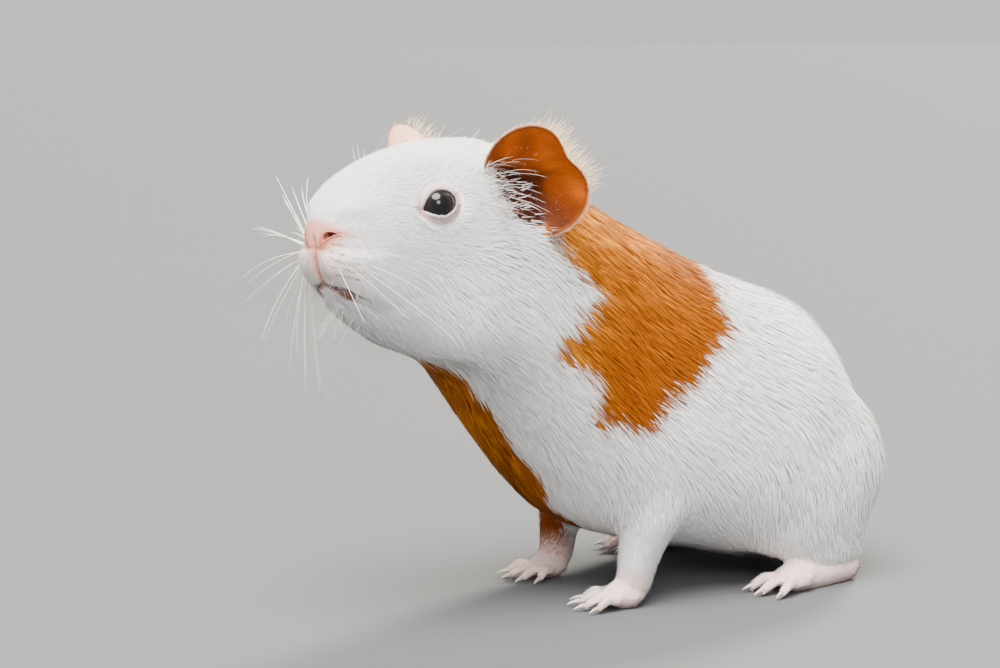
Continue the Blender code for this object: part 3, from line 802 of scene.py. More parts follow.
def lie_of_coat(points, normals, shares):
    """The direction that hair lies in at each point."""
    nose = turned(NOSE_TIP + (0.0, -2.5, -1.0))[0]
    low = ramp(points[:, 2], 124.0, 96.0) * ramp(points[:, 1], -100.0, -80.0)
    head = unit(unit(points - nose) + np.outer(low, (0.0, 0.0, -0.55)))
    body = np.tile((0.0, 1.0, -1.05), (len(points), 1))
    body[:, 2] += 0.5 * ramp(points[:, 1], 0.0, 60.0)
    body[:, 2] -= 0.5 * ramp(points[:, 1], 70.0, 100.0)
    body = unit(body)
    leg, thigh, foot = (unit(np.tile(way, (len(points), 1))) for way in LIE_OF_LIMBS)
    ear = np.zeros_like(points)
    for name, mirror in SIDES:
        _, along, up = ear_axes(name)
        root = turned(mirrored(EAR_CENTRE - along * 6.0 - up * 9.0, mirror))[0]
        chosen = np.sign(points[:, 0]) == mirror
        ear[chosen] = unit(points[chosen] - root)
    blend = ramp(points[:, 1] + 0.35 * (points[:, 2] - 90.0), -52.0, -18.0)
    neck = head * (1.0 - blend)[:, None] + body * blend[:, None]
    total = (
        head * (shares[:, HEAD] * (1.0 - 0.5 * blend))[:, None]
        + neck * shares[:, NECK][:, None]
        + body * shares[:, TRUNK][:, None]
        + leg * shares[:, FORELEG][:, None]
        + thigh * shares[:, HINDLEG][:, None]
        + foot * (shares[:, FOREFOOT] + shares[:, HINDFOOT])[:, None]
        + ear * shares[:, EAR][:, None]
    )
    straight = straightened(points)
    for name in EYES:
        height, _, _, edge = lid_place(straight, name)
        near = ramp(edge, 5.0, 0.5) * (height > -3.0) * shares[:, HEAD]
        away = unit(points - turned(eye_frame(name)[0])[0])
        total += away * (1.3 * near)[:, None]
    swirl = 0.16 * ripple(points, 11.0, 5) + 0.10 * ripple(points, 4.5, 6)
    flat = along_surface(total, normals)
    return unit(flat + np.cross(normals, flat) * swirl[:, None])


def bareness(skin):
    """Masks for what shows through the coat: nose, lips, lids, ears, soles, nostrils."""
    x, y, z = skin.straight.T
    wide = np.abs(x)
    line = mouth_height(wide)
    front = ramp(y, -88.0, -93.0) * skin.shares[:, HEAD]
    nose = np.exp(-np.maximum(0.0, ((wide / 8.6) ** 2 + ((z - 112.7) / 4.3) ** 2) - 0.6) * 2.4) * front
    lip = np.exp(-(((z - line + 1.75) / 1.9) ** 4) - (np.abs(wide - 6.5) / 3.0) ** 4) * front
    lip = np.maximum(lip, 0.8 * np.exp(-(((z - line + 0.7) / 0.75) ** 4)) * ramp(wide, 6.0, 4.0) * front)
    mouth = bell(z, line, 0.6) * ramp(wide, 11.5, 10.0) * (0.5 + 0.5 * ramp(wide, 1.0, 4.0)) * front
    groove = bell(wide, 0.0, 1.2) * ramp(z, 98.5, 100.0) * ramp(z, 112.0, 108.0) * front
    radial = nostril_distance(wide, z)
    nostril_front = ramp(y, -92.0, -94.0)
    lids, inner, wet = (np.zeros(len(x)) for _ in range(3))
    for name in EYES:
        height, a, b, edge = lid_place(skin.straight, name)
        outside = height > -2.0
        rim = ramp(edge, 0.95, 0.45) * outside * (edge > -0.4)
        corner = bell(a - LID_FRONT, 0.9, 1.7, b, -0.2, 0.9) * outside
        ring = 0.7 * bell(edge, 1.2, 0.8) * outside * (edge > 0.4)
        lids = np.maximum(lids, np.maximum(0.75 * corner, ring))
        wet = np.maximum(wet, rim)
        inner = np.maximum(inner, ((edge < 0.0) & (height > 0.0)).astype(float))
    return {
        "nose": nose,
        "lip": lip,
        "mouth": mouth,
        "groove": groove,
        "hole": ramp(radial, 1.25, 0.95) * nostril_front,
        "flush": bell(radial, 1.0, 1.8) * nostril_front,
        "blush": bell(wide, 4.5, 6.0, z, 104.0, 5.5) * front,
        "lids": lids,
        "wet": wet,
        "inner": inner,
    }


# Outlines of the ginger saddle in the side view: distance back from the middle, height.
LEFT_PATCH = (
    (-36.0, 128.0), (-33.0, 106.0), (-26.0, 101.0), (-20.0, 92.0), (-26.5, 86.0), (-33.5, 78.0), (-32.5, 74.0),
    (-24.0, 71.0), (-20.0, 64.0), (-19.0, 56.0), (-4.5, 53.5), (4.0, 62.0), (15.0, 69.5), (21.0, 76.0),
    (29.0, 80.0), (28.0, 90.0), (34.0, 97.5), (46.0, 101.0), (46.0, 128.0),
)
RIGHT_PATCH = (
    (-36.0, 128.0), (-33.0, 106.0), (-30.0, 98.0), (-34.0, 88.0), (-44.0, 80.0), (-61.0, 76.5), (-66.0, 60.0),
    (-40.0, 30.0), (-24.0, 8.0), (2.0, 8.0), (6.0, 26.0), (16.0, 40.0), (26.0, 47.0), (40.0, 60.0),
    (52.0, 76.0), (60.0, 84.0), (68.0, 94.0), (68.0, 128.0),
)


def ginger_at(points):
    """How ginger the hair is at each point: 1 in the patches, 0 outside them."""
    x, y, z = points.T
    left = inside_distance(y, z, LEFT_PATCH)
    right = inside_distance(y, z, RIGHT_PATCH)
    # the two sides meet along the back, and left of the middle down the breast
    breast = ramp(z, 82.0, 70.0) * ramp(y, 0.0, -14.0)
    meeting = 3.0 + 6.8 * breast - 4.5 * ramp(z, 36.0, 26.0) * breast + 1.3 * breast * ripple(points, 7.0, 23)
    half = 6.0 - 4.0 * breast
    to_left = smooth((x - meeting + half) / (2.0 * half))
    distance = right + (left - right) * to_left
    jag = 2.2 * ripple(points * (1.0, 1.6, 0.7), 4.0, 21) + 1.2 * ripple(points, 1.9, 22)
    return ramp(distance + jag, -1.2, 1.2)


def painted_breast_light(points):
    """1 down the front of the throat and breast, where painted light makes the ginger hair lighter."""
    return ramp(points[:, 1], -16.0, -34.0) * ramp(points[:, 2], 96.0, 86.0) * ramp(points[:, 0], -30.0, -12.0)


# ---------------------------------------------------------------- materials
def socket(group, name, kind, direction, default=None):
    made = group.interface.new_socket(name=name, in_out=direction, socket_type=kind)
    if default is not None:
        made.default_value = default


def solid(colour, strength=1.0):
    """A colour as shaders take it."""
    return (*[strength * part for part in colour], 1.0)


def put(target, value):
    """Feeds an inlet with another node's outlet or with a plain value."""
    if isinstance(value, bpy.types.NodeSocket):
        target.id_data.links.new(value, target)
    else:
        target.default_value = solid(value) if isinstance(value, tuple) and len(value) == 3 else value


def put_all(made, **values):
    """Feeds inlets by name, with _ for each space."""
    for name, value in values.items():
        put(made.inputs[name.replace("_", " ")], value)
    return made


def node(tree, kind, **values):
    made = tree.nodes.new(kind)
    for name, value in values.items():
        setattr(made, name, value)
    return made


def attribute(tree, name):
    return node(tree, "ShaderNodeAttribute", attribute_name=name).outputs["Fac"]


def mixed(tree, factor, first, second):
    """A colour mix; each of factor, first and second is an outlet or a plain value."""
    mix = node(tree, "ShaderNodeMix", data_type="RGBA")
    for target, value in zip((mix.inputs[0], mix.inputs[6], mix.inputs[7]), (factor, first, second)):
        put(target, value)
    return mix.outputs[2]


def maths(tree, operation, first, second, clamp=False):
    made = node(tree, "ShaderNodeMath", operation=operation, use_clamp=clamp)
    put(made.inputs[0], first)
    put(made.inputs[1], second)
    return made.outputs[0]


def noise(tree, scale, detail=3.0, roughness=0.55, stretch=None):
    """Fractal noise over the object's own place, in waves per metre."""
    source = node(tree, "ShaderNodeTexCoord").outputs["Object"]
    made = put_all(node(tree, "ShaderNodeTexNoise"), Scale=scale, Detail=detail, Roughness=roughness)
    if stretch:
        mapping = node(tree, "ShaderNodeMapping")
        mapping.inputs["Scale"].default_value = stretch
        put(mapping.inputs["Vector"], source)
        source = mapping.outputs[0]
    put(made.inputs["Vector"], source)
    return made.outputs["Fac"]


def group_named(name):
    """The shader group of this name, and whether it still has to be filled."""
    found = bpy.data.node_groups.get(name)
    return found or bpy.data.node_groups.new(name, "ShaderNodeTree"), found is None


def coat_colour_group():
    """Markings of the coat: white and ginger, each uneven from lock to lock and from root to tip, and the
    ginger lighter where light is painted.
    """
    group, fresh = group_named("Coat Colour")
    if not fresh:
        return group
    for name, value in (
        ("White", (0.86, 0.85, 0.83)),
        ("White Shade", (0.70, 0.67, 0.63)),
        ("Ginger", (0.50, 0.145, 0.022)),
        ("Ginger Light", (0.78, 0.34, 0.085)),
        ("Ginger Dark", (0.22, 0.048, 0.008)),
        ("Pink", (0.88, 0.44, 0.34)),
        ("Gold", (0.95, 0.70, 0.33)),
    ):
        socket(group, name, "NodeSocketColor", "INPUT", solid(value))
    socket(group, "Color", "NodeSocketColor", "OUTPUT")
    inlet, outlet = node(group, "NodeGroupInput").outputs, node(group, "NodeGroupOutput")
    ginger, tone, along = (attribute(group, n) for n in ("ginger", "tone", "along"))
    patchy = noise(group, 160.0, 2.0)
    light = maths(group, "ADD", maths(group, "MULTIPLY", tone, 0.65), maths(group, "MULTIPLY", patchy, 0.5))
    light = maths(group, "MULTIPLY", light, 1.0, True)
    dark = mixed(group, light, inlet["Ginger Dark"], inlet["Ginger"])
    # painted light: light ginger is mixed in where light is painted, higher up and down the breast
    pale_share = maths(group, "MULTIPLY", maths(group, "POWER", tone, 2.0), attribute(group, "sunny"), True)
    warm = mixed(group, pale_share, dark, inlet["Ginger Light"])
    warm = mixed(group, maths(group, "MULTIPLY", along, 0.2), warm, inlet["Ginger Light"])
    pale = mixed(group, maths(group, "MULTIPLY", tone, 0.45), inlet["White"], inlet["White Shade"])
    pale = mixed(group, along, pale, inlet["White"])
    pale = mixed(group, attribute(group, "pink"), pale, inlet["Pink"])
    pale = mixed(group, attribute(group, "gold"), pale, inlet["Gold"])
    put(outlet.inputs["Color"], mixed(group, ginger, pale, warm))
    return group


def fine_grain_group():
    """Small unevenness of skin and horn."""
    group, fresh = group_named("Fine Grain")
    if not fresh:
        return group
    socket(group, "Size", "NodeSocketFloat", "INPUT", 900.0)
    socket(group, "Height", "NodeSocketFloat", "OUTPUT")
    inlet, outlet = node(group, "NodeGroupInput"), node(group, "NodeGroupOutput")
    place = node(group, "ShaderNodeTexCoord")
    grain = put_all(node(group, "ShaderNodeTexNoise"), Detail=4.0)
    cells = node(group, "ShaderNodeTexVoronoi")
    for texture in (grain, cells):
        put_all(texture, Vector=place.outputs["Object"], Scale=inlet.outputs["Size"])
    height = maths(group, "ADD", grain.outputs["Fac"], maths(group, "MULTIPLY", cells.outputs["Distance"], 0.5))
    put(outlet.inputs["Height"], height)
    return group


def new_material(name):
    made = bpy.data.materials.new(name)
    made.use_nodes = True
    return made, made.node_tree, made.node_tree.nodes["Principled BSDF"]


def coat_colours(tree, white, white_shade, settings, strengths=(1.0, 1.0, 1.0)):
    """The markings in one material; the strengths brighten or dull ginger, light ginger and dark ginger."""
    gingers = (settings.ginger, settings.ginger_light, settings.ginger_dark)
    ginger, light, dark = (solid(c, strength) for c, strength in zip(gingers, strengths))
    made = node(tree, "ShaderNodeGroup", node_tree=coat_colour_group())
    put_all(made, White=white, White_Shade=white_shade, Ginger=ginger, Ginger_Light=light, Ginger_Dark=dark)
    return made.outputs["Color"]


def add_grain(tree, shader, size, distance, strength):
    """Fine unevenness of the surface: size in waves per metre, distance in metres."""
    grain = put_all(node(tree, "ShaderNodeGroup", node_tree=fine_grain_group()), Size=size)
    bump = node(tree, "ShaderNodeBump")
    put_all(bump, Strength=strength, Distance=distance, Height=grain.outputs["Height"])
    put(shader.inputs["Normal"], bump.outputs["Normal"])


def coat_material(settings):
    found = bpy.data.materials.get("coat")
    if found:
        return found
    material, tree, shader = new_material("coat")
    colour = coat_colours(tree, solid(settings.white), solid(settings.white_shade), settings)
    put_all(shader, Base_Color=colour, Roughness=0.7, Specular_IOR_Level=0.05)
    return material


def layered(tree, colour, layers, noises):
    """Lays colours over one another, each where its mask shows it."""
    for mask, texture, *colours in layers:
        top = mixed(tree, noises[texture], *colours) if texture else colours[0]
        colour = mixed(tree, attribute(tree, mask), colour, top)
    return colour


def skin_material(settings):
    material, tree, shader = new_material("skin")
    # painted light: the skin's ginger and dark ginger are painted lighter than the hair's, to light the shaded
    # gaps between locks
    colour = coat_colours(tree, SKIN_WHITE, SKIN_WHITE_SHADE, settings, (1.3, 0.9, 2.2))
    noises = {"mottled": noise(tree, 420.0, 4.0), "blotchy": noise(tree, 130.0, 3.0)}
    colour = layered(tree, colour, SKIN_LAYERS, noises)
    ear = layered(tree, mixed(tree, noises["mottled"], *EAR_SHADE), EAR_LAYERS, noises)
    colour = mixed(tree, attribute(tree, "ear"), colour, ear)
    colour = layered(tree, colour, FACE_LAYERS, noises)
    put_all(shader, Base_Color=colour, Roughness=0.5, Specular_IOR_Level=0.12)
    put_all(shader, Subsurface_Weight=0.08, Subsurface_Scale=0.001)
    shader.inputs["Subsurface Radius"].default_value = (1.0, 0.35, 0.2)
    add_grain(tree, shader, 1500.0, 0.00025, 0.6)
    return material


def eye_material():
    material, tree, shader = new_material("eyeball")
    reach = attribute(tree, "iris")
    iris = mixed(tree, noise(tree, 900.0, 5.0, 0.7), *IRIS)
    colour = mixed(tree, reach, PUPIL, iris)
    colour = mixed(tree, attribute(tree, "sclera"), colour, EYE_WHITE)
    put_all(shader, Base_Color=colour, Roughness=0.5, Specular_IOR_Level=0.05)
    put_all(shader, Coat_Weight=1.0, Coat_Roughness=0.02, Coat_IOR=1.4)
    return material


def claw_material():
    material, tree, shader = new_material("claw_horn")
    colour = mixed(tree, noise(tree, 700.0, 4.0, 0.6, (1.0, 0.25, 1.0)), *HORN)
    put_all(shader, Base_Color=colour, Roughness=0.32, Coat_Weight=0.2)
    add_grain(tree, shader, 2600.0, 0.0001, 0.4)
    return material


def whisker_material():
    material, tree, shader = new_material("whisker")
    along = attribute(tree, "along")
    colour = mixed(tree, noise(tree, 300.0, 2.0), *WHISKER)
    put_all(shader, Base_Color=mixed(tree, along, colour, WHISKER_TIP), Roughness=0.4)
    return material


def floor_material(colour):
    material, tree, shader = new_material("floor")
    clouds = mixed(tree, noise(tree, 4.0, 2.0), solid(colour), solid(colour, 0.97))
    put_all(shader, Base_Color=clouds, Roughness=0.9, Specular_IOR_Level=0.1)
    return material


# ---------------------------------------------------------------- the coat
def write_masks(mesh, **masks):
    """Writes each mask as a value at every point."""
    for name, values in masks.items():
        made = mesh.attributes.new(name, "FLOAT", "POINT")
        made.data.foreach_set("value", np.asarray(values, np.float32))


def whisker_roots():
    """Roots of the whiskers in rows on the pads of the straight head, for the left side."""
    rng = np.random.default_rng(70)
    roots = []
    for row in range(WHISKER_ROWS):
        for k in range(WHISKERS_IN_ROW):
            across = 6.6 + 1.0 * k + 0.35 * row + rng.normal(0.0, 0.2)
            height = 110.6 - 2.05 * row - 0.30 * k + rng.normal(0.0, 0.2)
            roots.append((across, -97.5 + 1.6 * k, height))
    return np.array(roots)


def follicles(points):
    """1 at the small dark spot round the root of each whisker."""
    straight = straightened(points)
    spots = np.zeros(len(points))
    near = (straight[:, 1] < -82.0) & (straight[:, 2] > 96.0) & (straight[:, 2] < 116.0)
    wide, high = np.abs(straight[near, 0]), straight[near, 2]
    best = np.zeros(len(wide))
    rng = np.random.default_rng(71)
    for root in whisker_roots():
        across, rise = wide - root[0], high - root[2]
        along, over = across * 0.94 - rise * 0.34, across * 0.34 + rise * 0.94
        spot = bell(along, 0.0, rng.uniform(0.45, 0.9), over, 0.0, 0.3)
        best = np.maximum(best, rng.uniform(0.25, 1.0) * spot)
    spots[near] = best
    return spots


def paint_skin(mesh, skin):
    """Writes the skin's masks."""
    points, shares, bare = skin.points, skin.shares, skin.bare
    own_ear = np.clip(shares[:, EAR] * 1.3, 0.0, 1.0)
    ear = own_ear.copy()
    painted_glow, rim, edge, behind, pit = (np.zeros(len(points)) for _ in range(5))
    for name, mirror in SIDES:
        a, b, _ = ear_place(points, name, mirror)
        facing = skin.normals @ ear_out(name, mirror)
        chosen = points[:, 0] * mirror > 0
        hollow = ramp(ear_hollow(points, name, mirror), 0.15, 0.6) * ramp(facing, -0.1, 0.3)
        spread = ear_spread(points, name, mirror)
        under = under_ear(points, skin.normals, name, mirror)
        # painted shade: the hollow before the ear and the skin under the ear take the ear's dark colours and
        # are darkened further
        ear = np.maximum(ear, np.maximum(hollow, under))
        pit = np.maximum(pit, np.maximum(0.85 * hollow, 0.8 * under * (1.0 - own_ear)))
        # painted light and shade: the ear glows where light shines through it from above and behind, and is
        # painted dark as shade in its lower cup and along a crease
        painted_backlight = ramp(b + 0.5 * a, -9.0, 5.0) * (0.75 + 0.25 * ripple(points, 4.0, 31))
        painted_fold_shade = bell(a, -6.0, 6.5, b, -5.0, 7.0)
        crease = 0.5 * bell(a - 0.45 * b, 2.0, 1.1) * ramp(b, 2.0, -4.0)
        painted_glow = np.where(chosen, np.clip(painted_backlight - 1.1 * painted_fold_shade - crease, 0.0, 1.0), painted_glow)
        rim = np.where(chosen, bell(spread, 0.925, 0.022), rim)
        edge = np.where(chosen, ramp(spread, 0.94, 0.965), edge)
        behind = np.where(chosen, ramp(facing, -0.1, -0.5), behind)
    # the back of the left ear is paler in its own colour, and its edge is painted pale as rim light
    left_pale_and_rim_light = np.maximum(0.25 * behind, 0.8 * edge)
    # a painted shadow line along the edge of the upper lid
    upper_lid_shadow = np.zeros(len(points))
    for name in EYES:
        height, a, b, off = lid_place(skin.straight, name)
        upper_lid_shadow = np.maximum(upper_lid_shadow, ramp(off, 0.55, 0.1) * (height > 0.0) * ramp(b - 0.4 * a, -2.0, 1.0))
    dots = follicles(points)
    # painted shade in the nostril holes, the mouth slit, behind the lids, along the upper lid and by the ears;
    # the whisker-root spots are their own colour
    dark = np.maximum(np.maximum(bare["hole"], 0.9 * bare["mouth"]), np.maximum(bare["inner"], 0.75 * upper_lid_shadow))
    dark = np.maximum(dark, np.maximum(pit, 0.55 * dots))
    pink = bare["nose"] + 0.9 * bare["groove"] + 0.3 * bare["blush"] + 0.8 * bare["lids"]
    flush = 0.6 * bare["groove"] + 0.85 * bare["flush"] + 0.9 * dots + 0.3 * bare["lids"]
    height = points[:, 2]
    write_masks(
        mesh,
        ginger=ginger_at(points + skin.lie * 6.0),
        # painted light: the skin under the ginger hair is lighter higher up and down the breast
        sunny=ramp(height, 60.0, 115.0) + ramp(height, 100.0, 118.0) + 0.5 * painted_breast_light(points),
        tone=0.5 + 0.4 * ripple(points, 3.0, 41),
        along=np.zeros(len(points)),
        pink=np.clip(pink, 0.0, 1.0),
        foot=np.clip((shares[:, FOREFOOT] + shares[:, HINDFOOT]) * 1.4 - 0.2, 0.0, 1.0),
        ear=ear * (1.0 - 0.3 * behind),
        ear_glow=np.clip(painted_glow, 0.0, 1.0),
        ear_rim=0.8 * rim,
        ear_pale=np.where(points[:, 0] < 0, 0.25 + 0.35 * behind, left_pale_and_rim_light),
        lip=np.clip(bare["lip"], 0.0, 1.0),
        wet=0.9 * bare["wet"],
        flush=np.clip(flush, 0.0, 0.85),
        dark=np.clip(dark, 0.0, 1.0),
    )


def hair_length(skin):
    """Length of the hair at each point of the skin, in millimetres."""
    straight, points = skin.straight, skin.points
    back = straight[:, 1] - NOSE_TIP[1]
    face = 1.3 + 1.5 * ramp(back, 4.0, 20.0) + 2.0 * ramp(back, 20.0, 58.0)
    face += 4.6 * ramp(back, 18.0, 52.0) * ramp(straight[:, 2], 120.0, 92.0)
    face += 1.6 * ramp(back, 3.0, 12.0) * ramp(straight[:, 2], 109.0, 101.0)
    face += 3.0 * ramp(straight[:, 2], 99.0, 90.0)
    neck = 9.5 + 2.5 * ramp(points[:, 2], 110.0, 60.0)
    trunk = 11.5 + 3.0 * ramp(points[:, 1], 10.0, 80.0)
    foreleg = 2.6 + 7.0 * ramp(points[:, 2], 14.0, 46.0)
    hindleg = 3.5 + 8.5 * ramp(points[:, 2], 7.0, 28.0)
    return by_region(
        skin.shares, face, neck, trunk, foreleg, hindleg, FOOT_HAIR_FRONT, FOOT_HAIR_BACK, EAR_HAIR
    )


def hair_density(skin, length):
    """Locks to the square millimetre at each point of the skin."""
    points, shares, bare = skin.points, skin.shares, skin.bare
    density = LOCKS_TO_MM2 / (1.0 + DENSITY_FALL * length)
    density *= 1.0 - 0.35 * np.clip(shares[:, FOREFOOT] + shares[:, HINDFOOT] + shares[:, EAR], 0.0, 1.0)
    naked = bare["nose"] * 0.9 + bare["lip"] + bare["mouth"] + 0.8 * bare["groove"] + bare["hole"]
    naked = naked + 0.6 * bare["lids"] + bare["wet"] + 2.0 * bare["inner"] + 0.95 * follicles(points)
    density *= 1.0 - np.clip(naked, 0.0, 1.0)
    density *= 1.0 - ramp(points[:, 2], 1.6, 0.5)  # bare soles
    density[points[:, 2] < 0.4] = 0.0
    for name, mirror in SIDES:
        front = ramp(skin.normals @ ear_out(name, mirror), -0.1, 0.3)
        shaded = np.maximum(
            ramp(ear_hollow(points, name, mirror), 0.15, 0.5) * front,
            ramp(under_ear(points, skin.normals, name, mirror), 0.1, 0.5),
        )
        density *= 1.0 - 0.97 * shaded * (1.0 - ramp(shares[:, EAR], 0.7, 0.95))
        chosen = (points[:, 0] * mirror > 0) & (shares[:, EAR] > 0.4)
        thin = 1.0 - front * (0.97 - 0.6 * ramp(ear_spread(points, name, mirror), 0.93, 0.97))
        density = np.where(chosen, density * thin, density)
    return density


def sample_roots(skin, density, rng):
    """Root places spread evenly over the skin: the triangle of each and its place in it."""
    corners = skin.points[skin.triangles]
    area = np.linalg.norm(np.cross(corners[:, 1] - corners[:, 0], corners[:, 2] - corners[:, 0]), axis=1) / 2.0
    expected = np.cumsum(area * density[skin.triangles].mean(1))
    count = int(expected[-1])
    steps = (np.arange(count) + rng.random(count)) * (expected[-1] / count)
    face = np.minimum(np.searchsorted(expected, steps), len(area) - 1)
    r1, r2 = np.sqrt(rng.random(count)), rng.random(count)
    place = np.column_stack((1.0 - r1, r1 * (1.0 - r2), r1 * r2))
    return face, place


def at_roots(values, triangles, place):
    values = np.asarray(values, float)
    if values.ndim == 1:
        return (values[triangles] * place).sum(1)
    return (values[triangles] * place[:, :, None]).sum(1)


def surface_under(skin, points):
    """The nearest skin to each point: its place, normal and triangle."""
    places, faces = np.empty_like(points), np.empty(len(points), np.int64)
    for i, point in enumerate(points):
        places[i], _, faces[i], _ = skin.tree.find_nearest(point)
    tri = skin.triangles[faces]
    return places, unit(skin.normals[tri].mean(1)), tri


class Locks:
    """A set of locks of hair: where each starts, how it lies and how long it is."""

    def __init__(self, skin, seed, density):
        rng = np.random.default_rng(seed)
        face, place = sample_roots(skin, density, rng)
        tri = skin.triangles[face]
        self.count = len(face)
        self.tri, self.place, self.rng = tri, place, rng
        self.root = at_roots(skin.points, tri, place)
        self.normal = unit(at_roots(skin.normals, tri, place))
        lie = along_surface(at_roots(skin.lie, tri, place), self.normal)
        self.length = at_roots(skin.length, tri, place) * rng.uniform(*LENGTH_RANGE, self.count)
        self.depth = at_roots(skin.depth, tri, place)
        self.shares = at_roots(skin.shares, tri, place)
        self.home = (skin.uv[face] * place[:, :, None]).sum(1)
        angle = rng.normal(0.0, LIE_SPREAD, self.count)
        across = np.cross(self.normal, lie)
        self.lie = unit(lie * np.cos(angle)[:, None] + across * np.sin(angle)[:, None])


def clumped(tips, roots, size, pull, rng):
    """Tips drawn towards the tip of the nearest leading lock, so that about this many locks make a tuft."""
    count = len(tips)
    index = np.flatnonzero(rng.random(count) < 1.0 / size)
    if len(index) == 0:
        return tips, np.zeros(count)
    tree = KDTree(len(index))
    for k, i in enumerate(index):
        tree.insert(roots[i], k)
    tree.balance()
    nearest = np.fromiter((tree.find(p)[1] for p in roots), np.int64, count)
    tone = rng.random(len(index))[nearest]
    return tips + (tips[index[nearest]] - tips) * pull[:, None], tone


def long_locks(skin, locks):
    """Root, middle and tip of each long lock, following the skin under it."""
    rng = locks.rng
    length, depth = locks.length, locks.depth
    base_mid, normal_mid, tri = surface_under(skin, locks.root + locks.lie * (0.5 * length)[:, None])
    flow = along_surface(unit(skin.lie[tri].mean(1) + 1.2 * locks.lie), normal_mid)
    base_tip, normal_tip, _ = surface_under(skin, base_mid + flow * (0.5 * length)[:, None])
    lift = rng.uniform(0.0, 1.0, locks.count)
    stray = STRAY_LIFT * (rng.random(locks.count) > STRAY_SHARE)
    middle = base_mid + normal_mid * (depth * (0.42 + 0.45 * lift))[:, None]
    tip = base_tip + normal_tip * (depth * (0.20 + 0.80 * lift) + stray)[:, None]
    return locks.root - locks.normal * LONG_ROOT, middle, tip


def ring_offsets(direction, normal, width, thick, turn):
    """Three corners round a lock, flatter than it is wide."""
    across = unit(np.cross(direction, normal))
    up = np.cross(across, direction)
    corners = []
    for k in range(3):
        angle = turn + math.tau * k / 3.0
        corners.append(across * (np.cos(angle) * width)[:, None] + up * (np.sin(angle) * thick)[:, None])
    return corners


def lock_arrays(stops, widths, normal):
    """Points and corners of closed tapered locks through these stops; the last stop is the tip."""
    count = len(stops[0])
    rings = len(stops) - 1
    per_lock = rings * 3 + 1
    points = np.empty((count, per_lock, 3))
    for r in range(rings):
        direction = unit(stops[r + 1] - stops[max(r - 1, 0)])
        corners = ring_offsets(direction, normal, widths[r], widths[r] * LOCK_FLATNESS, -math.pi / 2)
        for k in range(3):
            points[:, r * 3 + k] = stops[r] + corners[k]
    points[:, -1] = stops[-1]
    faces = [(0, 1, 2)]
    for r in range(rings - 1):
        for k in range(3):
            a, b = r * 3 + k, r * 3 + (k + 1) % 3
            c, d = a + 3, b + 3
            faces.append((a, d, b))
            faces.append((a, c, d))
    last = (rings - 1) * 3
    for k in range(3):
        faces.append((last + (k + 1) % 3, last + k, per_lock - 1))
    faces = np.array(faces, np.int64)
    corners = (np.arange(count)[:, None, None] * per_lock + faces[None]).reshape(-1)
    return points.reshape(-1, 3), corners, per_lock, len(faces)


def coat_piece(name, normals, home, stops, widths, masks, lean):
    """One piece of the coat, a joined mesh of closed locks with its bake map."""
    points, corners, per_lock, per_faces = lock_arrays(stops, widths, normals)
    points[:, 2] = np.maximum(points[:, 2], LOWEST_HAIR)
    mesh = mesh_from(name, points, corners, np.full(len(normals) * per_faces, 3))
    rings = len(stops) - 1
    along = np.concatenate([np.full(3, r / rings) for r in range(rings)] + [np.ones(1)])
    write_masks(mesh, **{key: np.repeat(values, per_lock) for key, values in masks.items()})
    write_masks(mesh, along=np.tile(along, len(normals)))
    local = [(k / 2.0 - 0.5, r / rings - 0.5) for r in range(rings) for k in range(3)] + [(0.0, 0.5)]
    uv = home[:, None, :] + np.array(local)[None] * TUFT_PATCH
    layer = mesh.uv_layers.new(name=BAKE_MAP)
    layer.uv.foreach_set("vector", uv.reshape(-1, 2)[corners].astype(np.float32).ravel())
    leaning = unit(mesh_normals(mesh) * (1.0 - lean) + np.repeat(normals, per_lock, axis=0) * lean)
    mesh.normals_split_custom_set_from_vertices(leaning.astype(np.float32))
    obj = object_from(mesh)
    mesh.materials.append(coat_material(bpy.context.scene.guinea_pig_coat))
    return finish_piece(obj)


def shaped_locks(skin, locks, kind):
    """Stops and widths of the locks, the tone of their tufts, and where each takes its colour from."""
    rng, count = locks.rng, locks.count
    width = bpy.context.scene.guinea_pig_coat.lock_width / MM / LOCK_WIDTH
    if kind == "long":
        start, middle, tip = long_locks(skin, locks)
        tip, tone = clumped(tip, locks.root, LONG_TUFT, rng.uniform(0.05, 0.42, count), rng)
        middle = middle + (tip - locks.root - (middle - locks.root) * 2.0) * 0.12
        body = (0.09 + 0.0095 * locks.length) * width * rng.uniform(0.75, 1.25, count)
        return (start, middle, tip), (body * 0.85, body), tone, 0.6
    lift = rng.uniform(0.35, 1.0, count)
    tip = locks.root + locks.lie * (locks.length * 0.96)[:, None] + locks.normal * (locks.depth * lift)[:, None]
    tip, tone = clumped(tip, locks.root, SHORT_TUFT, rng.uniform(0.0, 0.5, count), rng)
    body = (0.10 + 0.010 * locks.length) * width * rng.uniform(0.8, 1.25, count)
    return (locks.root - locks.normal * SHORT_ROOT, tip), (body,), tone, 0.5


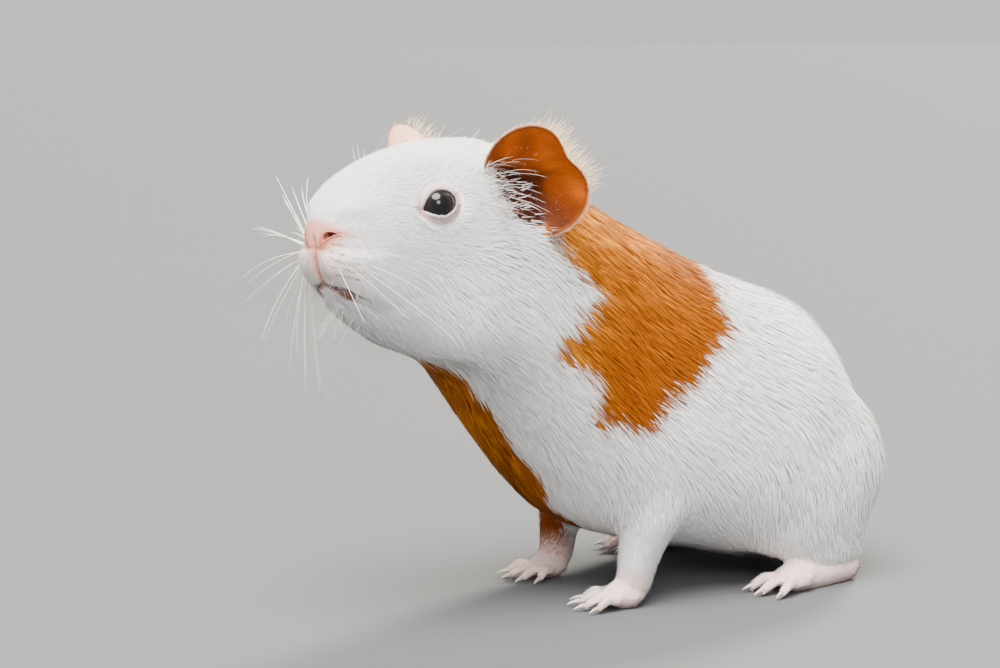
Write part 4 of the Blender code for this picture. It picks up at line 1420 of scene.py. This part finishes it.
def grow(name, region, seed, kind, lean=COAT_LEAN):
    """Grows the coat of one region and splits it into pieces of a lawful size."""
    skin = BUILT["skin"]
    locks = Locks(skin, seed, skin.density * region)
    rng, root, count = locks.rng, locks.root, locks.count
    stops, widths, tone, reach = shaped_locks(skin, locks, kind)
    sample = root + locks.lie * (reach * locks.length)[:, None]
    tone = np.clip(0.6 * tone + 0.4 * rng.random(count), 0.0, 1.0)
    ginger = np.clip(ginger_at(sample + rng.normal(0.0, 0.9, sample.shape)), 0.0, 1.0)
    on_ear = np.clip(1.5 * locks.shares[:, EAR], 0.0, 1.0)
    ear_ginger = np.where(root[:, 0] > 0, rng.uniform(0.8, 1.0, count), rng.uniform(0.5, 0.95, count))
    at_rim = ramp(ear_spread(root, "left", 1.0), 0.92, 0.96) * (root[:, 0] > 0)
    ginger = ginger + (ear_ginger - 0.5 * at_rim - ginger) * on_ear
    x, y, z = straightened(sample).T
    stain = bell(np.abs(x), 8.5, 3.0, z - mouth_height(np.abs(x)), 0.5, 2.6)
    # painted light: ginger hair is lighter higher up, down the breast and on the ears, where light falls
    sunny = 0.12 + 0.88 * ramp(root[:, 2], 72.0, 118.0) + 1.6 * ramp(root[:, 2], 100.0, 118.0)
    masks = {
        "ginger": np.maximum(ginger, 0.2 * stain * ramp(y, -84.0, -90.0)),
        "tone": np.maximum(tone, 0.8 * on_ear),
        "sunny": np.maximum(sunny + 0.9 * painted_breast_light(root), on_ear),
        "pink": at_roots(skin.pink, locks.tri, locks.place),
    }
    pieces = max(1, math.ceil(count / (MOST_LONG if kind == "long" else MOST_SHORT)))
    for k, chunk in enumerate(np.array_split(np.argsort(root[:, 1], kind="stable"), pieces), start=1):
        coat_piece(
            name if pieces == 1 else f"{name}_{k}",
            locks.normal[chunk],
            locks.home[chunk],
            [stop[chunk] for stop in stops],
            [width[chunk] for width in widths],
            {key: values[chunk] for key, values in masks.items()},
            lean,
        )


# ---------------------------------------------------------------- settings
COLOUR = {"subtype": "COLOR", "size": 3}
LENGTH = {"precision": 5, "unit": "LENGTH"}


class GuineaPigSkinSettings(bpy.types.PropertyGroup):
    """How finely the skin is built."""

    voxel: bpy.props.FloatProperty(
        name="Skin Detail", description="Size of the faces of the skin",
        default=0.5 * MM, min=0.3 * MM, max=3.0 * MM, **LENGTH,
    )


class GuineaPigCoatSettings(bpy.types.PropertyGroup):
    """Colours and locks of the coat."""

    white: bpy.props.FloatVectorProperty(
        name="White", description="Colour of the white hair", default=(0.93, 0.925, 0.91), **COLOUR
    )
    white_shade: bpy.props.FloatVectorProperty(
        name="White Shade", description="Colour of the duller white hair", default=(0.86, 0.85, 0.825), **COLOUR
    )
    ginger: bpy.props.FloatVectorProperty(
        name="Ginger", description="Colour of the ginger hair", default=(0.25, 0.038, 0.0015), **COLOUR
    )
    # this colour also paints light onto the ginger hair of the top and the breast
    ginger_light: bpy.props.FloatVectorProperty(
        name="Ginger Light", description="Colour of the golden tips", default=(0.88, 0.30, 0.014), **COLOUR
    )
    ginger_dark: bpy.props.FloatVectorProperty(
        name="Ginger Dark", description="Colour of the brownest ginger hair",
        default=(0.13, 0.018, 0.001), **COLOUR,
    )
    lock_width: bpy.props.FloatProperty(
        name="Lock Width", description="Half the width of a lock of body hair at its thickest",
        default=LOCK_WIDTH * MM, min=0.05 * MM, max=1.0 * MM, **LENGTH,
    )
    thickness: bpy.props.FloatProperty(
        name="Coat Thickness", description="Share of the full number of locks", default=1.0, min=0.05, max=1.2
    )


class GuineaPigStageSettings(bpy.types.PropertyGroup):
    """Floor, lights and camera."""

    floor_colour: bpy.props.FloatVectorProperty(
        name="Floor Colour", description="Colour of the plain floor", default=(0.118, 0.120, 0.122), **COLOUR
    )
    key_power: bpy.props.FloatProperty(
        name="Key Light", description="Strength of the main soft light", default=11.5, min=0.0
    )
    rim_power: bpy.props.FloatProperty(
        name="Back Light", description="Strength of the warm light from behind", default=9.5, min=0.0
    )
    fill_power: bpy.props.FloatProperty(
        name="Fill Light", description="Strength of the soft light from the side", default=5.5, min=0.0
    )
    sky_strength: bpy.props.FloatProperty(
        name="Sky", description="Strength of the light from all round", default=0.82, min=0.0
    )


# ---------------------------------------------------------------- operators
class OBJECT_OT_guinea_pig_skin(bpy.types.Operator):
    """Build the skin with its lids, nose, mouth, ears and toes"""

    bl_idname = "object.guinea_pig_skin"
    bl_label = "Skin"

    def execute(self, context):
        mesh = build_skin_mesh(context.scene.guinea_pig_skin.voxel / MM)
        mesh.name = "skin"
        obj = object_from(mesh, "skin")
        mesh.shade_smooth()
        bpy.context.view_layer.objects.active = obj
        obj.select_set(True)
        bpy.ops.object.mode_set(mode="EDIT")
        bpy.ops.mesh.select_all(action="SELECT")
        bpy.ops.uv.smart_project(angle_limit=math.radians(66.0), island_margin=0.002)
        bpy.ops.object.mode_set(mode="OBJECT")
        obj.select_set(False)
        mesh.uv_layers[0].name = BAKE_MAP
        settings = context.scene.guinea_pig_coat
        BUILT["skin"] = Skin(obj, settings.thickness)
        paint_skin(mesh, BUILT["skin"])
        mesh.materials.clear()
        mesh.materials.append(skin_material(settings))
        finish_piece(obj)
        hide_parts(*FLESH)
        return {"FINISHED"}


def region_mask(*regions):
    """1 where the skin belongs most to one of these regions."""
    return np.isin(BUILT["skin"].shares.argmax(1), regions).astype(float)


class OBJECT_OT_guinea_pig_coat_head(bpy.types.Operator):
    """Grow the coat of the face, the cheeks and the neck"""

    bl_idname = "object.guinea_pig_coat_head"
    bl_label = "Coat of the Head"

    def execute(self, context):
        head = region_mask(HEAD)
        long = ramp(BUILT["skin"].length, 4.0, 6.5)
        grow("coat_face", head * (1.0 - long), 101, "short")
        grow("coat_cheeks", head * long, 102, "long")
        grow("coat_neck", region_mask(NECK), 103, "long")
        return {"FINISHED"}


class OBJECT_OT_guinea_pig_coat_body(bpy.types.Operator):
    """Grow the coat of the trunk"""

    bl_idname = "object.guinea_pig_coat_body"
    bl_label = "Coat of the Body"

    def execute(self, context):
        grow("coat_trunk", region_mask(TRUNK), 111, "long")
        return {"FINISHED"}


class OBJECT_OT_guinea_pig_coat_legs(bpy.types.Operator):
    """Grow the coat of the legs and the feet"""

    bl_idname = "object.guinea_pig_coat_legs"
    bl_label = "Coat of the Legs"

    def execute(self, context):
        long = ramp(BUILT["skin"].length, 4.5, 7.0)
        grow("coat_forelegs", region_mask(FORELEG) * long, 121, "long")
        grow("coat_hindlegs", region_mask(HINDLEG) * long, 122, "long")
        grow("coat_shins", region_mask(FORELEG, HINDLEG) * (1.0 - long), 124, "short")
        grow("coat_feet", region_mask(FOREFOOT, HINDFOOT), 123, "short")
        return {"FINISHED"}


class OBJECT_OT_guinea_pig_coat_ears(bpy.types.Operator):
    """Grow the short hair of the ears"""

    bl_idname = "object.guinea_pig_coat_ears"
    bl_label = "Coat of the Ears"

    def execute(self, context):
        grow("coat_ears", region_mask(EAR), 131, "short", EAR_LEAN)
        return {"FINISHED"}


WISP_STOPS = ((0.35, 0.02), (0.7, 0.10), (1.0, 0.24))  # shares of a strand's length, along and bending


def wisps(name, seed, density, direction, length, ginger, bend, tones=(0.4, 1.0)):
    """Long loose strands that rise from the coat: direction and bend are given at each point of the skin."""
    locks = Locks(BUILT["skin"], seed, density)
    rng, count = locks.rng, locks.count
    lead = unit(at_roots(direction, locks.tri, locks.place) + rng.normal(0.0, WISP_SPREAD, (count, 3)))
    sag = at_roots(bend, locks.tri, locks.place)
    reach = rng.uniform(*length, count)[:, None]
    start = locks.root - locks.normal * WISP_ROOT
    stops = [start] + [start + lead * reach * out + sag * reach * down for out, down in WISP_STOPS]
    width = rng.uniform(*WISP_WIDTH, count)
    masks = {"ginger": rng.uniform(*ginger, count), "tone": rng.uniform(*tones, count)}
    # the strands are given full painted light
    masks.update(sunny=np.ones(count), pink=np.zeros(count))
    widths = (width * 0.45, width, width * 0.7)
    return coat_piece(name, locks.normal, locks.home, stops, widths, masks, WISP_LEAN)


class OBJECT_OT_guinea_pig_wisps(bpy.types.Operator):
    """Grow the long strands before and behind the ears, on the brow and under the chin"""

    bl_idname = "object.guinea_pig_wisps"
    bl_label = "Wisps"

    def execute(self, context):
        skin = BUILT["skin"]
        x, y, z = skin.straight.T
        count = len(x)
        front, back = np.zeros(count), np.zeros(count)
        way_front, way_back = np.zeros((count, 3)), np.zeros((count, 3))
        for name, mirror in SIDES:
            out = ear_out(name, mirror)
            along, up = (mirrored(axis, mirror) for axis in ear_axes(name)[1:])
            a, b, h = ear_place(skin.points, name, mirror)
            here = skin.points[:, 0] * mirror > 0
            band = bell(before_ear(a, b), -11.5, 2.6, b, -3.0, 8.5) * ramp(h, -9.0, -5.5)
            band *= 1.0 + 1.6 * ramp(b, 0.0, 6.0)
            front = np.where(here, 0.55 * band * (1.0 - skin.shares[:, EAR]), front)
            way_front[here] = along * 0.85 + out * 0.62 + up * 0.12 + up * 0.035 * b[here][:, None]
            behind = ramp(skin.normals @ out, 0.1, -0.4) * ramp(np.hypot(a, b), 19.0, 12.0)
            down_on = (1.9 if mirror > 0 else 0.5) * behind * ramp(a, -4.0, 2.0) * ramp(b, -9.0, -3.0)
            back = np.where(here, down_on, back)
            way_back[here] = along * 0.75 + up * 0.55 - out * 0.15
        down = np.tile((0.0, 0.35, -0.6), (count, 1))
        wisps("ear_strands", 141, front, unit(way_front), (5.0, 14.0), (0.0, 0.3), down)
        wisps("ear_tufts", 144, 0.7 * front, unit(way_front), (4.0, 9.0), (0.85, 1.0), down, (0.0, 0.5))
        fuzz = wisps("ear_fuzz", 142, back, unit(way_back), (3.5, 8.5), (0.0, 0.2), down * 0.6)
        write_masks(fuzz.data, gold=np.full(len(fuzz.data.vertices), 0.8))
        fringe = bell(z - mouth_height(np.abs(x)), 2.2, 1.5, np.abs(x), np.where(x > 0, 8.5, 6.5), 2.6)
        fringe = fringe * ramp(y, -85.0, -90.0)
        hang = np.column_stack((0.25 * np.sign(x), np.full(count, 0.28), np.full(count, -1.0)))
        wisps("lip_fringe", 145, 0.7 * fringe, unit(hang), (3.0, 7.5), (0.0, 0.15), down * 0.3)
        crown = skin.shares[:, HEAD] * ramp(skin.normals[:, 2], 0.6, 0.9) * ramp(y, -84.0, -70.0)
        chin = skin.shares[:, HEAD] * ramp(skin.normals[:, 2], -0.5, -0.8) * ramp(y, -62.0, -80.0)
        away = unit(skin.lie + skin.normals * 0.8)
        wisps("stray_hairs", 143, 0.02 * crown + 0.10 * chin, away, (5.0, 9.0), (0.0, 0.05), skin.lie * 0.6)
        return {"FINISHED"}


class OBJECT_OT_guinea_pig_eyes(bpy.types.Operator):
    """Build the two eyeballs"""

    bl_idname = "object.guinea_pig_eyes"
    bl_label = "Eyes"

    def execute(self, context):
        material = eye_material()
        for name in EYES:
            centre, radius, out, _, _ = eye_frame(name)
            middle = turned(centre)[0]
            gaze = unit(turned(centre + out)[0] - middle)
            bm = bmesh.new()
            bmesh.ops.create_uvsphere(bm, u_segments=64, v_segments=40, radius=1.0)
            turn = Vector((0, 0, 1)).rotation_difference(Vector(gaze)).to_matrix()
            rise = np.array([vertex.co.z for vertex in bm.verts])
            for vertex in bm.verts:
                dome = max(0.0, (vertex.co.z - CORNEA_FROM) / (1.0 - CORNEA_FROM))
                bulge = 1.0 + CORNEA_BULGE * dome**1.5
                vertex.co = Vector(middle * MM) + turn @ (vertex.co * bulge) * (radius - EYE_GAP) * MM
            mesh = mesh_of(bm, name.replace("eye_", "eyeball_"))
            mesh.shade_smooth()
            write_masks(mesh, iris=ramp(rise, 0.93, 0.86), sclera=ramp(rise, 0.36, 0.30))
            mesh.materials.append(material)
            obj = finish_piece(object_from(mesh))
            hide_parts(name)
        return {"FINISHED"}


class OBJECT_OT_guinea_pig_claws(bpy.types.Operator):
    """Build the fourteen claws"""

    bl_idname = "object.guinea_pig_claws"
    bl_label = "Claws"

    def execute(self, context):
        material = claw_material()
        for name in sorted(n for n in NODES if n.startswith("claw_")):
            bm = bmesh.new()
            bm.from_mesh(NODES[name].data)
            bmesh.ops.remove_doubles(bm, verts=bm.verts, dist=WELD)
            nail = name.replace("claw", "nail")
            form = object_from(mesh_of(bm, nail + "_form"))
            rounding = form.modifiers.new("Round", "SUBSURF")
            rounding.levels = rounding.render_levels = 2
            mesh = with_modifiers(form)
            mesh.name = nail
            mesh.shade_smooth()
            mesh.materials.clear()
            mesh.materials.append(material)
            obj = finish_piece(object_from(mesh, nail))
            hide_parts(name)
        return {"FINISHED"}


def tube_arrays(path, radii, sides=5):
    """Points and faces of a thin tapered tube along a path."""
    angles = math.tau * np.arange(sides) / sides
    rings = []
    for i, place in enumerate(path[:-1]):
        ahead = unit(path[min(i + 1, len(path) - 1)] - path[max(i - 1, 0)])
        across = unit(np.cross(ahead, (0.3, 0.2, 1.0)))
        other = np.cross(across, ahead)
        rings.append(place + (across * np.cos(angles)[:, None] + other * np.sin(angles)[:, None]) * radii[i])
    points = np.concatenate(rings + [path[-1:]])
    faces = [tuple(range(sides))[::-1]]
    for r in range(len(rings) - 1):
        for k in range(sides):
            a, b = r * sides + k, r * sides + (k + 1) % sides
            faces.append((a, b, b + sides, a + sides))
    last = (len(rings) - 1) * sides
    for k in range(sides):
        faces.append((last + k, last + (k + 1) % sides, len(points) - 1))
    return points, faces


def long_hair_piece(name, hairs):
    """Many long single hairs as one mesh; each hair is (path, root radius)."""
    all_points, corners, sizes, along = [], [], [], []
    base = 0
    for path, radius in hairs:
        share = np.linspace(0.0, 1.0, len(path))
        points, faces = tube_arrays(path, radius * (1.0 - 0.75 * share))
        for face in faces:
            corners.extend(base + i for i in face)
            sizes.append(len(face))
        all_points.append(points)
        sides = (len(points) - 1) // (len(path) - 1)
        along.extend(np.concatenate((np.repeat(share[:-1], sides), (1.0,))))
        base += len(points)
    mesh = mesh_from(name, np.concatenate(all_points), np.array(corners), np.array(sizes))
    write_masks(mesh, along=along)
    mesh.materials.append(whisker_material())
    return finish_piece(object_from(mesh))


class OBJECT_OT_guinea_pig_whiskers(bpy.types.Operator):
    """Build the whiskers of the muzzle, brows and chin"""

    bl_idname = "object.guinea_pig_whiskers"
    bl_label = "Whiskers"

    def execute(self, context):
        skin = BUILT["skin"]
        rng = np.random.default_rng(77)
        hairs = []

        def hair(root, direction, length, droop, radius, steps=9):
            """A curved hair from a root on the straight head, sagging and curling back."""
            start = turned(root)[0]
            place, normal, _ = surface_under(skin, np.array([start]))
            start = place[0] - normal[0] * 0.4
            direction = unit(turned(np.asarray(root) + direction)[0] - turned(root)[0])
            share = np.linspace(0.0, 1.0, steps)[:, None]
            bend = np.array((0.0, 0.30, -0.55)) * droop * length
            path = start + direction * length * share + bend * share**2.2
            hairs.append((path, radius))

        for side in (1.0, -1.0):
            for number, root in enumerate(whisker_roots()):
                row, k = divmod(number, WHISKERS_IN_ROW)
                if side > 0 and (number % 2 or row > 3):
                    continue
                fan = 58.0 - 33.0 * row - 3.0 * k + rng.normal(0.0, 7.0)
                fan = math.radians(fan if side < 0 else 0.45 * fan)
                ahead = -0.42 + 0.14 * k + (0.05 if side > 0 else 0.0)
                flat = unit(np.array((side * 0.85, ahead, 0.0)))
                direction = flat * math.cos(fan) + np.array((0.0, 0.0, math.sin(fan)))
                length = rng.uniform(17.0, 25.0) + 1.6 * k + (4.0 if row > 1 else 0.0)
                droop, radius = rng.uniform(0.15, 0.5), rng.uniform(0.14, 0.22) * (0.65 if side > 0 else 1.1)
                hair(mirrored(root, side), direction, length, droop, radius)
            for k in range(3):
                root = (side * (12.5 + k), -76.0 + 2.5 * k, 128.0)
                hair(root, unit(np.array((side * 0.5, 0.1, 0.9))), rng.uniform(7.0, 11.0), 0.3, 0.09)
        for name, side in SIDES:
            facing, along, up = ear_axes(name)
            for k in range(7):
                root = EAR_CENTRE - along * rng.uniform(10.0, 13.0) + up * (2.0 - 2.0 * k) - facing * 7.0
                lead = along + facing * 0.55 + up * (0.75 - 0.12 * k)
                hair(mirrored(root, side), mirrored(unit(lead), side), rng.uniform(9.0, 15.0), 0.55, 0.08)
        for k in range(14):
            root = (rng.uniform(-6.0, 6.0), rng.uniform(-95.0, -88.0), rng.uniform(86.0, 93.0))
            direction = unit(np.array((rng.normal(0.0, 0.3), -0.55, -0.75)))
            hair(root, direction, rng.uniform(5.0, 11.0), 0.2, 0.09)
        long_hair_piece("whiskers", hairs)
        return {"FINISHED"}


def add_lamp(name, kind, place, power):
    """A lamp that shines on the animal."""
    light = bpy.data.lights.new(name, kind)
    light.energy = power
    lamp = bpy.data.objects.new(name, light)
    lamp.location = place
    look_along(lamp, AIM - lamp.location)
    return light


def look_along(obj, way):
    """Turns a lamp or the camera to look this way and puts it in the scene."""
    obj.rotation_mode = "QUATERNION"
    obj.rotation_quaternion = way.to_track_quat("-Z", "Y")
    bpy.context.scene.collection.objects.link(obj)


class OBJECT_OT_guinea_pig_stage(bpy.types.Operator):
    """Set the floor, the lights and the camera"""

    bl_idname = "object.guinea_pig_stage"
    bl_label = "Stage"

    def execute(self, context):
        settings = context.scene.guinea_pig_stage
        bm = bmesh.new()
        bmesh.ops.create_grid(bm, x_segments=2, y_segments=2, size=FLOOR_SIZE)
        floor = object_from(mesh_of(bm, "floor"))
        floor.data.materials.append(floor_material(settings.floor_colour))
        world = bpy.data.worlds.new("studio")
        context.scene.world = world
        world.use_nodes = True
        put_all(world.node_tree.nodes["Background"], Color=SKY, Strength=settings.sky_strength)
        for name, place, spread, colour in SUNS:
            light = add_lamp(name, "SUN", place, getattr(settings, name + "_power"))
            light.angle = math.radians(spread)
            light.color = colour
        add_lamp("fill", "AREA", FILL_PLACE, settings.fill_power).size = FILL_SIZE
        right, away = Vector(CAMERA_RIGHT).normalized(), Vector(CAMERA_AWAY).normalized()
        pitch = math.radians(CAMERA_PITCH)
        camera = bpy.data.objects.new("camera", bpy.data.cameras.new("camera"))
        camera.data.lens = LENS
        camera.data.sensor_width = SENSOR
        camera.location = right * CAMERA_SHIFT + away * CAMERA_BACK + CAMERA_BASE
        look_along(camera, away * math.cos(pitch) - Vector((0.0, 0.0, math.sin(pitch))))
        context.scene.camera = camera
        return {"FINISHED"}


class VIEW3D_PT_guinea_pig(bpy.types.Panel):
    """Buttons that build the guinea pig piece by piece"""

    bl_label = "Guinea Pig"
    bl_space_type = "VIEW_3D"
    bl_region_type = "UI"
    bl_category = "Guinea Pig"

    def draw(self, context):
        for name in ("guinea_pig_skin", "guinea_pig_coat", "guinea_pig_stage"):
            settings = getattr(context.scene, name)
            for key in settings.bl_rna.properties.keys():
                if key not in ("rna_type", "name"):
                    self.layout.prop(settings, key)
        for operator in OPERATORS:
            self.layout.operator(operator.bl_idname)


SETTINGS = (
    ("guinea_pig_skin", GuineaPigSkinSettings),
    ("guinea_pig_coat", GuineaPigCoatSettings),
    ("guinea_pig_stage", GuineaPigStageSettings),
)
OPERATORS = (
    OBJECT_OT_guinea_pig_skin,
    OBJECT_OT_guinea_pig_coat_head,
    OBJECT_OT_guinea_pig_coat_body,
    OBJECT_OT_guinea_pig_coat_legs,
    OBJECT_OT_guinea_pig_coat_ears,
    OBJECT_OT_guinea_pig_wisps,
    OBJECT_OT_guinea_pig_eyes,
    OBJECT_OT_guinea_pig_claws,
    OBJECT_OT_guinea_pig_whiskers,
    OBJECT_OT_guinea_pig_stage,
)


def register():
    for name, kind in SETTINGS:
        bpy.utils.register_class(kind)
        setattr(bpy.types.Scene, name, bpy.props.PointerProperty(type=kind))
    for kind in OPERATORS:
        bpy.utils.register_class(kind)
    bpy.utils.register_class(VIEW3D_PT_guinea_pig)


def unregister():
    bpy.utils.unregister_class(VIEW3D_PT_guinea_pig)
    for kind in reversed(OPERATORS):
        bpy.utils.unregister_class(kind)
    for name, kind in reversed(SETTINGS):
        delattr(bpy.types.Scene, name)
        bpy.utils.unregister_class(kind)


def main():
    register()
    bpy.ops.object.guinea_pig_skin()
    bpy.ops.object.guinea_pig_coat_head()
    bpy.ops.object.guinea_pig_coat_body()
    bpy.ops.object.guinea_pig_coat_legs()
    bpy.ops.object.guinea_pig_coat_ears()
    bpy.ops.object.guinea_pig_wisps()
    bpy.ops.object.guinea_pig_eyes()
    bpy.ops.object.guinea_pig_claws()
    bpy.ops.object.guinea_pig_whiskers()
    bpy.ops.object.guinea_pig_stage()


if __name__ == "__main__":
    main()
